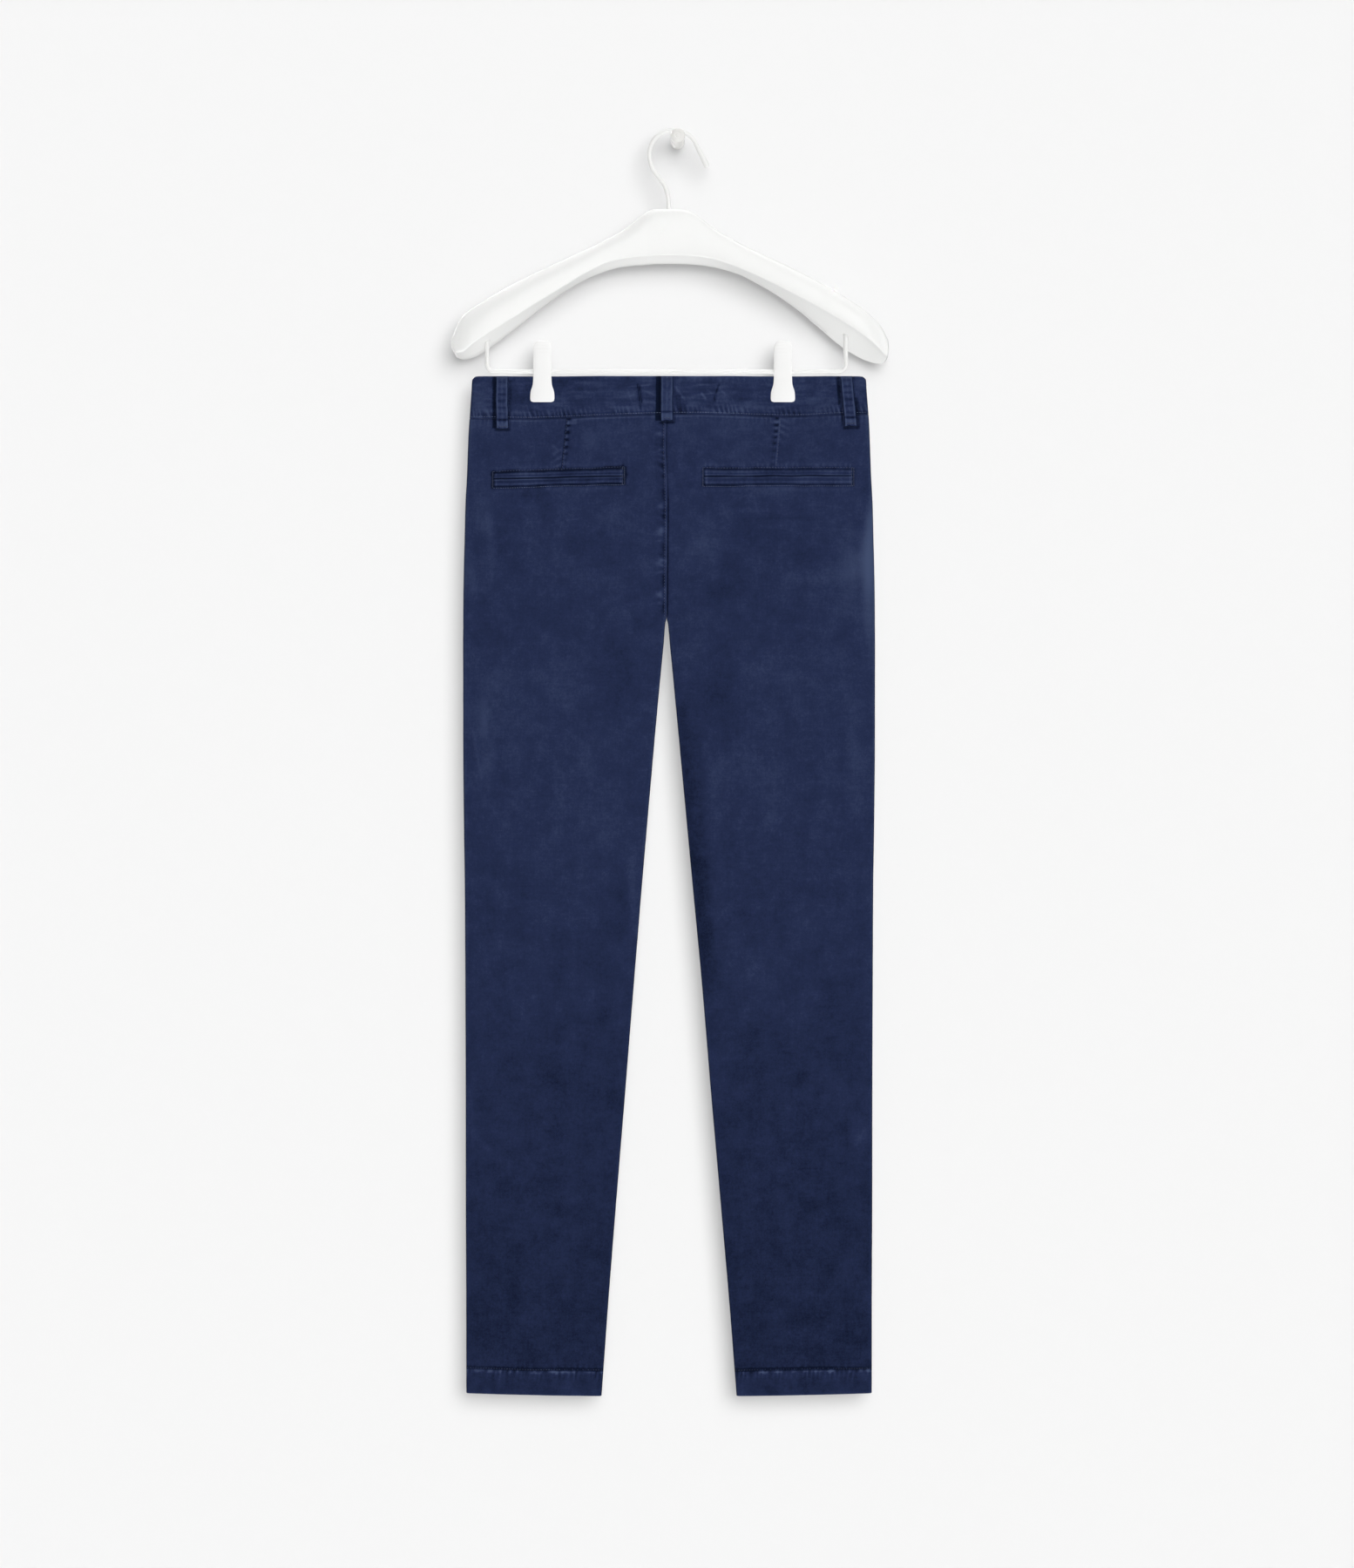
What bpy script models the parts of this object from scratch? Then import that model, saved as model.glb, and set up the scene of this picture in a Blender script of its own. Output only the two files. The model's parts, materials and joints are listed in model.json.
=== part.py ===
# Slim chino trousers hung flat from a clip hanger on a wall peg, with their back to the viewer.
# World frame: +Z up, the wall is the plane y = 0 and the viewer stands on the -Y side, so +X is to
# the viewer's right. The origin is the middle of the peg's back face. Left and right are the
# wearer's, which a viewer behind the wearer sees as left (-X) and right (+X).

import math

import bmesh
import bpy
from mathutils import Vector
from mathutils.bvhtree import BVHTree

MM = 0.001  # every size below is in millimetres

# Where things hang
HANG_Y = -30.0  # plane of the hook, the bar and the middle of the cloth, out from the wall
GARMENT_X = -9.7  # centre line of the trousers and the hanger, beside the peg's axis
WAIST_DROP = 246.0  # waist's top edge below the peg's axis
COLLAR_DROP = 73.0  # hanger's flat top below the peg's axis

# Cloth
TWILL = 1.2  # wall of a leg panel
BAND_WALL = 2.0  # the band's two plies and its interfacing
SEAM = 0.3  # clearance between two pieces sewn together
LAID = 0.4  # clearance under a piece that lies on a panel
BAND_HEIGHT = 42.0
BAND_HALF_WIDTH = 204.0
WAIST_SEAM = 0.5  # clearance along the sloping waist seam
HEM_HEIGHT = 27.0
HEM_WALL = 1.0
HEM_RISE = 3.0  # how much lower the hem is at the inseam than at the outseam

# Section of a leg or of the hips, lying flat: a long low tube with a small round at each fold
FOLD_RADIUS = 3.0
FOLD_STRIP = 0.7  # straight run beside a seam, before the fold's round starts
FOLD_ANGLES = (0.0, 20.0, 40.0, 60.0, 80.0)
CREST_RUN = 62.0  # distance from a fold at which the tube reaches its full depth
CENTRE_STEPS = (1.0, 3.5, 7.0, 12.0, 19.0)  # columns beside the centre seam, above the fork
CROTCH_STRIP = 0.9  # how far the panels stay apart at the one point where all four meet
CLIP_COLUMNS = (-86.0, -60.0, -36.0, -14.5, 14.5, 36.0, 57.0)  # columns beside a clip's middle

# One row for each cross-section, top to bottom. drop: below the waist's top edge. half_width: centre
# line to the outer fold. leg_gap: half the space between the legs. seam_shift: centre seam, or middle
# of that space, from the centre line. half_depth: middle plane to the cloth's outer face.
# centre_share: how much of half_depth is left at the centre seam.
SECTION_FIELDS = ("drop", "half_width", "leg_gap", "seam_shift", "half_depth", "centre_share")
SECTION_TABLE = (
    (0.0, 199.5, 0.0, -1.6, 7.6, 1.0),
    (4.0, 202.8, 0.0, -1.6, 7.9, 1.0),
    (14.0, 203.4, 0.0, -1.6, 8.1, 1.0),
    (28.0, 204.4, 0.0, -1.8, 8.3, 1.0),
    (BAND_HEIGHT, 205.4, 0.0, -2.2, 8.6, 1.0),
    (55.0, 206.3, 0.0, -3.0, 9.0, 1.0),
    (75.0, 207.1, 0.0, -3.2, 9.4, 1.0),
    (100.0, 208.0, 0.0, -2.4, 9.8, 1.0),
    (133.0, 209.7, 0.0, -1.5, 10.0, 0.97),
    (169.0, 210.6, 0.0, -1.8, 10.0, 0.88),
    (205.0, 211.5, 0.0, -2.1, 9.8, 0.68),
    (232.0, 211.9, 0.0, -2.3, 9.4, 0.40),
    (251.0, 212.0, 0.0, -2.3, 9.1, 0.0),
    (276.0, 212.2, 3.5, -2.4, 8.9, 0.0),
    (313.0, 212.1, 7.2, -2.4, 8.7, 0.0),
    (385.0, 212.0, 13.9, -2.3, 8.4, 0.0),
    (460.0, 211.3, 20.8, -2.1, 8.2, 0.0),
    (530.0, 210.3, 27.1, -1.9, 8.0, 0.0),
    (630.0, 209.8, 35.8, -1.2, 7.7, 0.0),
    (745.0, 209.4, 45.2, -1.0, 7.4, 0.0),
    (850.0, 209.3, 54.2, -0.7, 7.2, 0.0),
    (950.0, 208.9, 62.4, -0.3, 7.0, 0.0),
    (1050.0, 208.8, 70.3, 0.0, 7.0, 0.0),
)
CROTCH_DROP = 251.0
HEM_DROP = 1050.0

# Belt loops. x_top and x_end are the loop's middle from the centre line at its two ends.
LOOP_WIDTH = 11.7
LOOP_WALL = 1.4
LOOP_STAND = 5.0  # room for a belt between loop and band
LOOP_FIELDS = ("name", "side", "x_top", "x_end", "length")
LOOP_TABLE = (
    ("belt_loop_back_left", -1, -171.7, -171.3, 55.0),
    ("belt_loop_back_centre", -1, -1.6, -1.6, 47.0),
    ("belt_loop_back_right", -1, 183.2, 188.0, 52.5),
    ("belt_loop_front_left", 1, -88.0, -88.0, 54.0),
    ("belt_loop_front_right", 1, 84.0, 84.0, 54.0),
)

# Back pockets: two narrow welts each, above and below the mouth, laid on the panel. Corners are
# (from the centre line, drop) at the mouth's two ends.
WELT_WALL = 1.0
WELT_FIELDS = ("side_name", "x_start", "x_end", "top_start", "top_end", "mouth_start", "mouth_end",
               "low_start", "low_end")
WELT_TABLE = (
    ("left", -180.3, -46.2, 99.5, 95.2, 106.3, 103.2, 115.0, 111.3),
    ("right", 36.5, 190.2, 95.9, 95.3, 103.9, 102.6, 113.1, 112.4),
)
MOUTH_GAP = 0.6  # slit left between the two welts

# Hidden front
FLY_WIDTH = 37.0
FLY_END_DROP = 218.0
ZIP_WIDTH = 24.0
ZIP_END_DROP = 196.0
ZIP_WALL = 1.0
SLANT_TOP_FROM_FOLD = 42.0  # pocket mouth's upper end, in from the side
SLANT_LOW_FROM_FOLD = 9.0
SLANT_LOW_DROP = 190.0
SLANT_EDGE_WIDTH = 7.0
BUTTON_RADIUS = 8.0
BUTTON_WALL = 3.0
BUTTON_FROM_SEAM = 12.0

# Clips that hold the waistband, and the bar they hang on
CLIP_TABLE = (("clip_left", -1, 130.2), ("clip_right", 1, 118.1))  # side, and middle to centre line
CLIP_TOP_DROP = 209.5  # below the peg's axis
CLIP_WALL = 2.0
PINCHED_DEPTH = 2.3  # half the folded waistband's thickness under a jaw
PINCH_FLAT = 15.0  # half the width that a jaw presses flat
PINCH_RUN = 44.0  # cloth regains its depth over this distance
PINCH_END = 110.0  # drop at which nothing of the pinch is left
JAW_FIELDS = ("below_top", "half_width", "stand")  # stand: middle plane to the jaw's inner face
JAW_TABLE = (
    (0.0, 4.6, 5.4),
    (1.2, 7.2, 5.3),
    (4.0, 9.0, 5.1),
    (14.0, 9.1, 4.5),
    (26.0, 9.3, 4.4),
    (37.0, 9.6, 4.0),
    (42.0, 11.5, 3.0),
    (45.0, 12.3, 2.6),
    (58.0, 12.4, 2.6),
    (61.5, 11.4, 2.6),
    (63.3, 8.8, 2.6),
)
SPRING_LENGTH = 9.0
SPRING_RADIUS = 4.0
BAR_RADIUS = 2.25
BAR_DROP = 240.8
BAR_LEFT = -197.0  # upright runs of the bar, from the peg's axis
BAR_RIGHT = 173.5
BAR_BEND = 7.0
BAR_SUNK = 12.0  # length of each end inside the hanger's arm
FREE_FIT = 0.3  # clearance of a wire in its hole

# Hanger arms. out: from the hanger's middle. top, front_low and rear_low: below the flat top. The
# underside slopes from the front edge to the rear edge, and more on the right arm.
HANGER_FIELDS = ("out", "top", "front_low", "rear_low", "half_depth")
LEFT_ARM_TABLE = (
    (223.8, 130.0, 144.0, 147.0, 9.5),
    (220.5, 123.0, 150.5, 151.0, 13.5),
    (212.0, 110.5, 152.0, 153.8, 16.5),
    (201.0, 101.7, 143.3, 150.2, 17.5),
    (192.0, 96.3, 135.7, 144.4, 17.5),
    (171.0, 83.5, 120.4, 127.4, 16.5),
    (140.0, 67.8, 99.8, 103.0, 15.0),
    (110.0, 53.1, 81.8, 82.6, 13.5),
    (79.0, 41.0, 65.2, 67.4, 12.0),
    (49.0, 25.2, 53.4, 59.0, 10.5),
    (33.0, 14.6, 50.7, 57.0, 10.0),
    (18.5, 0.6, 49.4, 55.8, 9.5),
)
RIGHT_ARM_TABLE = (
    (18.5, 0.6, 49.4, 56.4, 9.5),
    (33.0, 12.8, 51.2, 58.2, 10.0),
    (49.0, 22.0, 53.0, 61.3, 10.5),
    (79.0, 38.0, 62.6, 71.0, 12.0),
    (110.0, 52.6, 75.4, 86.4, 13.5),
    (140.0, 67.5, 93.1, 108.6, 15.0),
    (171.0, 84.6, 111.4, 134.8, 16.5),
    (192.0, 97.2, 123.5, 150.0, 17.5),
    (201.0, 103.0, 129.9, 154.1, 17.5),
    (212.0, 112.5, 138.8, 158.2, 16.5),
    (220.5, 121.8, 147.3, 157.6, 13.5),
    (226.5, 131.0, 150.5, 154.5, 9.5),
)
ARM_SQUARENESS = 2.8  # superellipse power of an arm's rounded upper side
ARM_ARC_POINTS = 9
COLLAR_HALF = 9.5  # half depth at the hanger's middle
COLLAR_FRONT_LOW = 48.9
COLLAR_REAR_LOW = 55.3

# Hook
HOOK_RADIUS = 2.3
HOOK_TIP_SCALE = 1.3  # the free end is a little thicker
HOOK_BEND = 25.3  # radius of the wire's middle line over the peg
HOOK_MIDDLE_X = -4.2  # the bend's centre, beside the peg's axis
HOOK_FREE_ANGLE = 26.6  # the bend ends here, in degrees from +X, and the free end runs straight
HOOK_FREE_RUN = 27.0
HOOK_NECK_ANGLE = 196.0  # and ends here on the other side, where the neck begins
HOOK_SUNK = 14.0  # length of the stem inside the hanger's collar
HOOK_NECK = ((-25.9, -32.2), (-19.6, -40.2), (-13.4, -49.5), (-10.3, -60.5))  # (x, z) down to the stem
HOOK_STEM_TOP = -68.0

# Wall peg: (distance from the wall, radius), from its round head back to the wall
PEG_GROOVE_RADIUS = 5.5
PEG_PROFILE = ((55.0, 4.6), (54.0, 6.4), (51.5, 7.5), (42.0, 7.5), (39.5, PEG_GROOVE_RADIUS),
               (21.0, PEG_GROOVE_RADIUS), (18.5, 7.0), (0.0, 7.0))

TURNED_STEPS = 24
HOLE_SIDES = 16

# Finishes: base colour, roughness, metallic
FINISHES = {
    "twill": ((0.021, 0.031, 0.078, 1.0), 0.86, 0.0),
    "button_resin": ((0.020, 0.024, 0.045, 1.0), 0.35, 0.0),
    "zip_metal": ((0.42, 0.36, 0.25, 1.0), 0.38, 1.0),
    "white_lacquer": ((0.86, 0.86, 0.85, 1.0), 0.42, 0.0),
    "white_wire": ((0.84, 0.84, 0.83, 1.0), 0.38, 0.0),
    "white_moulding": ((0.86, 0.86, 0.84, 1.0), 0.45, 0.0),
    "peg_enamel": ((0.66, 0.67, 0.64, 1.0), 0.35, 0.0),
}


def table_rows(fields, table):
    return [dict(zip(fields, row)) for row in table]


SECTIONS = table_rows(SECTION_FIELDS, SECTION_TABLE)


def clear_scene():
    for old in list(bpy.data.objects):
        bpy.data.objects.remove(old)


def new_collection(name):
    collection = bpy.data.collections.new(name)
    bpy.context.scene.collection.children.link(collection)
    return collection


def new_material(name, finish):
    color, roughness, metallic = FINISHES[finish]
    material = bpy.data.materials.new(name)
    material.use_nodes = True
    shader = material.node_tree.nodes["Principled BSDF"]
    shader.inputs["Base Color"].default_value = color
    shader.inputs["Roughness"].default_value = roughness
    shader.inputs["Metallic"].default_value = metallic
    return material


def add_piece(name, data, finish, place=(0.0, 0.0, 0.0), turn=(0.0, 0.0, 0.0)):
    piece = bpy.data.objects.new(name, data)
    piece.location = Vector(place) * MM
    piece.rotation_euler = turn
    piece.parent = hanging_point
    parts.objects.link(piece)
    data.materials.append(new_material(name, finish))
    return piece


def smooth_step(value):
    value = min(1.0, max(0.0, value))
    return value * value * (3.0 - 2.0 * value)


def mix(first, second, share):
    return first + (second - first) * share


def look_up(rows, key, value):
    # the row at a place between two rows of a table, by straight lines
    for upper, lower in zip(rows, rows[1:]):
        if value <= lower[key]:
            share = (value - upper[key]) / (lower[key] - upper[key])
            return {name: mix(upper[name], lower[name], share) for name in upper}
    return dict(rows[-1])


def crest(distance):
    return math.sin(math.pi / 2.0 * min(1.0, max(0.0, distance) / CREST_RUN))


def pinched(depth, x, drop):
    # the cloth's depth near a clip, which presses front and back of the band together
    grip = 0.0
    for _, side, middle in CLIP_TABLE:
        across = 1.0 - smooth_step((abs(x - side * middle) - PINCH_FLAT) / PINCH_RUN)
        grip = max(grip, across)
    band_end = 28.0
    down = 1.0 - smooth_step((drop - band_end) / (PINCH_END - band_end))
    return mix(depth, min(depth, PINCHED_DEPTH), grip * down)


def quarter_section(section, side, inset=0.0):
    # One quarter of the tube at one height: (x, depth, share of the way out) from the centre seam or
    # inseam to the outer fold. side is -1 for the left leg and 1 for the right one.
    inner = side * section["seam_shift"] + section["leg_gap"] + SEAM / 2.0 + inset
    outer = section["half_width"] - inset
    full = section["half_depth"] - inset
    radius = FOLD_RADIUS - inset
    share = section["centre_share"]
    forked = share < 0.2
    base = FOLD_STRIP + radius * math.sin(math.radians(FOLD_ANGLES[-1]))
    start = SEAM / 2.0 if section["drop"] != CROTCH_DROP else CROTCH_STRIP
    points = []
    if forked:
        points.append((inner, start))
        for angle in FOLD_ANGLES:
            turn = math.radians(angle)
            points.append((inner + radius * (1.0 - math.cos(turn)),
                           max(start + SEAM, FOLD_STRIP + radius * math.sin(turn))))
    else:
        for step in (0.0,) + CENTRE_STEPS:
            rise = share + (1.0 - share) * crest(step)
            points.append((inner + step, full * rise))
    clip_middle = next(middle for _, clip_side, middle in CLIP_TABLE if clip_side == side)
    for step in CLIP_COLUMNS:
        x = mix(inner, outer, (clip_middle + step) / BAND_HALF_WIDTH)
        out_rise = mix(base / full, 1.0, crest(outer - x))
        if forked:
            in_rise = mix(base / full, 1.0, crest(x - inner))
        else:
            in_rise = share + (1.0 - share) * crest(x - inner)
        points.append((x, full * out_rise * in_rise))
    for angle in reversed(FOLD_ANGLES):
        turn = math.radians(angle)
        points.append((outer - radius * (1.0 - math.cos(turn)), FOLD_STRIP + radius * math.sin(turn)))
    points.append((outer, SEAM / 2.0))
    placed = []
    for x, depth in points:
        deep = pinched(depth, side * x, section["drop"]) if depth > PINCHED_DEPTH else depth
        placed.append((side * x, deep, (x - inner) / (outer - inner)))
    return placed


def sheet_mesh(name, rows, outward, closed=False):
    # A mesh through rows of points given in millimetres. outward is a direction that the first
    # row's middle face looks to, roughly.
    bm = bmesh.new()
    grid = [[bm.verts.new(Vector(point) * MM) for point in row] for row in rows]
    columns = len(rows[0])
    last = columns if closed else columns - 1
    for upper, lower in zip(grid, grid[1:]):
        for column in range(last):
            after = (column + 1) % columns
            bm.faces.new((upper[column], upper[after], lower[after], lower[column]))
    bm.normal_update()
    bm.faces.ensure_lookup_table()
    probe = bm.faces[last // 3]
    if probe.normal.dot(Vector(outward)) < 0.0:
        bmesh.ops.reverse_faces(bm, faces=bm.faces)
    mesh = bpy.data.meshes.new(name)
    bm.to_mesh(mesh)
    bm.free()
    return mesh


def thicken(piece, wall, offset=-1.0):
    shell = piece.modifiers.new("wall", "SOLIDIFY")
    shell.thickness = wall * MM
    shell.offset = offset
    shell.use_even_offset = False


def garment_piece(name, mesh, wall, finish="twill", offset=-1.0):
    piece = add_piece(name, mesh, finish, place=(GARMENT_X, HANG_Y, -WAIST_DROP))
    thicken(piece, wall, offset)
    return piece


def leg_panel(name, side, facing):
    # facing is -1 for a back panel, which the viewer sees, and 1 for a front one
    drops = [BAND_HEIGHT + WAIST_SEAM] + [row["drop"] for row in SECTIONS if row["drop"] > BAND_HEIGHT]
    rows = []
    for drop in drops:
        section = look_up(SECTIONS, "drop", drop)
        section["drop"] = drop
        row = []
        for x, depth, out in quarter_section(section, side):
            slope = HEM_RISE * (1.0 - out) if drop == HEM_DROP else 0.0
            row.append((x, facing * depth, -drop - slope))
        rows.append(row)
    mesh = sheet_mesh(name, rows, (0.0, facing, 0.0))
    return garment_piece(name, mesh, TWILL)


def waistband_half(name, side):
    # from centre back round the side fold to centre front
    rows = []
    for row in SECTIONS:
        if row["drop"] > BAND_HEIGHT:
            break
        quarter = quarter_section(row, side)
        back = [(x, -depth, -row["drop"]) for x, depth, _ in quarter[:-1]]
        front = [(x, depth, -row["drop"]) for x, depth, _ in reversed(quarter[:-1])]
        rows.append(back + front)
    mesh = sheet_mesh(name, rows, (0.0, -1.0, 0.0))
    return garment_piece(name, mesh, BAND_WALL)


def hem_ring(name, side):
    # the turn-up, all round inside the leg's end
    inset = TWILL + LAID
    rows = []
    for drop in (HEM_DROP - HEM_HEIGHT, HEM_DROP - HEM_HEIGHT / 2.0, HEM_DROP):
        section = look_up(SECTIONS, "drop", drop)
        quarter = quarter_section(section, side, inset)[1:-1]
        back = [(x, -depth, -drop - HEM_RISE * (1.0 - out)) for x, depth, out in quarter]
        front = [(x, depth, -drop - HEM_RISE * (1.0 - out)) for x, depth, out in reversed(quarter)]
        rows.append(back + front)
    mesh = sheet_mesh(name, rows, (0.0, -1.0, 0.0), closed=True)
    return garment_piece(name, mesh, HEM_WALL)


def surface_tree(pieces):
    # the outer faces of the sewn shell, for laying other pieces on it
    points = []
    faces = []
    for piece in pieces:
        first = len(points)
        points += [vertex.co.copy() for vertex in piece.data.vertices]
        faces += [[first + index for index in face.vertices] for face in piece.data.polygons]
    return BVHTree.FromPolygons(points, faces)


def surface_depth(x, drop, facing):
    # distance of the shell's outer face from the middle plane; a ray that slips through a seam is
    # sent again just beside it
    for nudge in (0.0, -1.0, 1.0):
        start = Vector((x + nudge, facing * 200.0, -drop)) * MM
        hit = shell_tree.ray_cast(start, Vector((0.0, -facing, 0.0)))[0]
        if hit is not None:
            return facing * hit.y / MM
    raise ValueError(f"no cloth under x {x}, drop {drop}")


def belt_loop(row):
    # a strip sewn down at both ends that stands off the band between them
    facing = row["side"]
    first_drop = 0.8
    steps = 10
    rows = []
    for step in range(steps + 1):
        share = step / steps
        drop = first_drop + row["length"] * share
        middle = mix(row["x_top"], row["x_end"], share)
        half = LOOP_WIDTH / 2.0
        under = max(surface_depth(middle + x, drop, facing) for x in (-half, 0.0, half))
        arch = min(1.0, math.sin(math.pi * share) * 2.4) ** 0.8
        depth = under + LAID + LOOP_STAND * arch
        rows.append([(middle - half, facing * depth, -drop), (middle + half, facing * depth, -drop)])
    mesh = sheet_mesh(row["name"], rows, (0.0, facing, 0.0))
    garment_piece(row["name"], mesh, LOOP_WALL, offset=1.0)


def laid_strip(name, edges, wall, facing, columns):
    # A strip on the shell between two edges, each a pair of (x, drop) ends
    (first_start, first_end), (second_start, second_end) = edges
    rows = []
    for start, end in ((first_start, first_end), (second_start, second_end)):
        row = []
        for column in range(columns + 1):
            share = column / columns
            x = mix(start[0], end[0], share)
            drop = mix(start[1], end[1], share)
            row.append((x, facing * (surface_depth(x, drop, facing) + LAID), -drop))
        rows.append(row)
    mesh = sheet_mesh(name, rows, (0.0, facing, 0.0))
    garment_piece(name, mesh, wall, offset=1.0)


def pocket_welts(row):
    half_mouth = MOUTH_GAP / 2.0
    start, end = row["x_start"], row["x_end"]
    upper = (((start, row["top_start"]), (end, row["top_end"])),
             ((start, row["mouth_start"] - half_mouth), (end, row["mouth_end"] - half_mouth)))
    lower = (((start, row["mouth_start"] + half_mouth), (end, row["mouth_end"] + half_mouth)),
             ((start, row["low_start"]), (end, row["low_end"])))
    columns = 12
    laid_strip(f"pocket_welt_{row['side_name']}_upper", upper, WELT_WALL, -1, columns)
    laid_strip(f"pocket_welt_{row['side_name']}_lower", lower, WELT_WALL, -1, columns)


def slant_pocket_edge(name, side):
    top_drop = BAND_HEIGHT + 2.0
    top_out = look_up(SECTIONS, "drop", top_drop)["half_width"] - SLANT_TOP_FROM_FOLD
    low_out = look_up(SECTIONS, "drop", SLANT_LOW_DROP)["half_width"] - SLANT_LOW_FROM_FOLD
    outer = ((side * top_out, top_drop), (side * low_out, SLANT_LOW_DROP))
    inner = ((side * (top_out - SLANT_EDGE_WIDTH), top_drop),
             (side * (low_out - SLANT_EDGE_WIDTH), SLANT_LOW_DROP))
    laid_strip(name, (outer, inner), WELT_WALL, 1, 10)


def fly_flap(name):
    # The left front's fly, laid on the panel beside the centre front seam, with a round lower end
    top_drop = BAND_HEIGHT + 2.0
    steps = 11
    columns = 4
    edge = -3.2
    rows = []
    for step in range(steps + 1):
        share = step / steps
        drop = mix(top_drop, FLY_END_DROP, math.sin(math.pi / 2.0 * share))
        rounding = max(0.0, (drop - (FLY_END_DROP - FLY_WIDTH * 1.6)) / (FLY_WIDTH * 1.6))
        width = max(5.0, FLY_WIDTH * math.sqrt(max(0.0, 1.0 - rounding ** 2)))
        row = []
        for column in range(columns + 1):
            x = edge - width * column / columns
            row.append((x, surface_depth(x, drop, 1) + LAID, -drop))
        rows.append(row)
    mesh = sheet_mesh(name, rows, (0.0, 1.0, 0.0))
    garment_piece(name, mesh, WELT_WALL, offset=1.0)


def fly_zip(name):
    # the closed zip on its tape, inside the front, behind the centre seam
    top_drop = BAND_HEIGHT + 3.0
    steps = 6
    middle = -2.2
    rows = []
    for step in range(steps + 1):
        drop = mix(top_drop, ZIP_END_DROP, step / steps)
        reach = [middle - ZIP_WIDTH / 2.0, middle + ZIP_WIDTH / 2.0]
        depth = min(surface_depth(x, drop, 1) for x in reach + [middle + 1.5, middle - 1.5])
        rows.append([(x, depth - TWILL - LAID, -drop) for x in reach])
    mesh = sheet_mesh(name, rows, (0.0, 1.0, 0.0))
    garment_piece(name, mesh, ZIP_WALL, finish="zip_metal")


def turned(name, profile, finish, place=(0.0, 0.0, 0.0), turn=(0.0, 0.0, 0.0), closed=False):
    # Screw of a profile of (radius, height) points that runs down its outer side
    mesh = bpy.data.meshes.new(name)
    points = [Vector((radius, 0.0, height)) * MM for radius, height in profile]
    edges = [(index, index + 1) for index in range(len(points) - 1)]
    if closed:
        edges.append((len(points) - 1, 0))
    mesh.from_pydata(points, edges, [])
    piece = add_piece(name, mesh, finish, place, turn)
    spin = piece.modifiers.new("turned", "SCREW")
    spin.steps = TURNED_STEPS
    spin.render_steps = TURNED_STEPS
    spin.use_merge_vertices = True
    spin.merge_threshold = 0.00001
    spin.use_smooth_shade = True
    return piece


def wire(name, route, radius, finish, tip_scale=1.0):
    # a POLY curve with filled caps; tip_scale thickens its first stretch
    curve = bpy.data.curves.new(name, "CURVE")
    curve.dimensions = "3D"
    curve.bevel_depth = radius * MM
    curve.bevel_resolution = 2
    curve.use_fill_caps = True
    line = curve.splines.new("POLY")
    line.points.add(len(route) - 1)
    thick_points = 6
    for index, (point, (x, z)) in enumerate(zip(line.points, route)):
        point.co = (x * MM, HANG_Y * MM, z * MM, 1.0)
        point.radius = mix(tip_scale, 1.0, min(1.0, index / thick_points))
    return add_piece(name, curve, finish)


def arc(middle, radius, start_degrees, end_degrees, steps):
    points = []
    for step in range(steps + 1):
        turn = math.radians(mix(start_degrees, end_degrees, step / steps))
        points.append((middle[0] + radius * math.cos(turn), middle[1] + radius * math.sin(turn)))
    return points


def smooth_through(points, steps):
    # a Catmull-Rom curve through the inner points; the two end points only steer it
    route = []
    for before, start, end, after in zip(points, points[1:], points[2:], points[3:]):
        for step in range(steps):
            t = step / steps
            place = []
            for a, b, c, d in zip(before, start, end, after):
                place.append(0.5 * (2.0 * b + (c - a) * t + (2.0 * a - 5.0 * b + 4.0 * c - d) * t ** 2
                                    + (3.0 * b - a - 3.0 * c + d) * t ** 3))
            route.append(tuple(place))
    return route + [points[-2]]


def hook_route():
    # From the free end, over the peg, down the neck and into the collar. The wire's inner side
    # rests in the peg's groove, with the usual clearance.
    reach = HOOK_BEND - HOOK_RADIUS - PEG_GROOVE_RADIUS - SEAM
    middle = (HOOK_MIDDLE_X, -math.sqrt(reach ** 2 - HOOK_MIDDLE_X ** 2))
    bend = arc(middle, HOOK_BEND, HOOK_FREE_ANGLE, HOOK_NECK_ANGLE, 18)
    heading = math.radians(HOOK_FREE_ANGLE - 90.0)
    free_steps = 5
    free = []
    for step in range(free_steps, 0, -1):
        run = HOOK_FREE_RUN * step / free_steps
        free.append((bend[0][0] + run * math.cos(heading), bend[0][1] + run * math.sin(heading)))
    stem_end = (GARMENT_X, -COLLAR_DROP - HOOK_SUNK)
    neck = smooth_through(bend[-2:] + list(HOOK_NECK) + [(GARMENT_X, HOOK_STEM_TOP), stem_end], 3)
    return free + bend[:-1] + neck + [stem_end]


def underside(table, out):
    rows = table_rows(HANGER_FIELDS, table)
    rows.sort(key=lambda row: row["out"])
    row = look_up(rows, "out", out)
    return COLLAR_DROP + (row["front_low"] + row["rear_low"]) / 2.0


def bar_route():
    left_top = -underside(LEFT_ARM_TABLE, GARMENT_X - BAR_LEFT) + BAR_SUNK
    right_top = -underside(RIGHT_ARM_TABLE, BAR_RIGHT - GARMENT_X) + BAR_SUNK
    corner_z = -BAR_DROP + BAR_BEND
    left_bend = arc((BAR_LEFT + BAR_BEND, corner_z), BAR_BEND, 180.0, 270.0, 6)
    right_bend = arc((BAR_RIGHT - BAR_BEND, corner_z), BAR_BEND, 270.0, 360.0, 6)
    return [(BAR_LEFT, left_top)] + left_bend + right_bend + [(BAR_RIGHT, right_top)]


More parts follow.
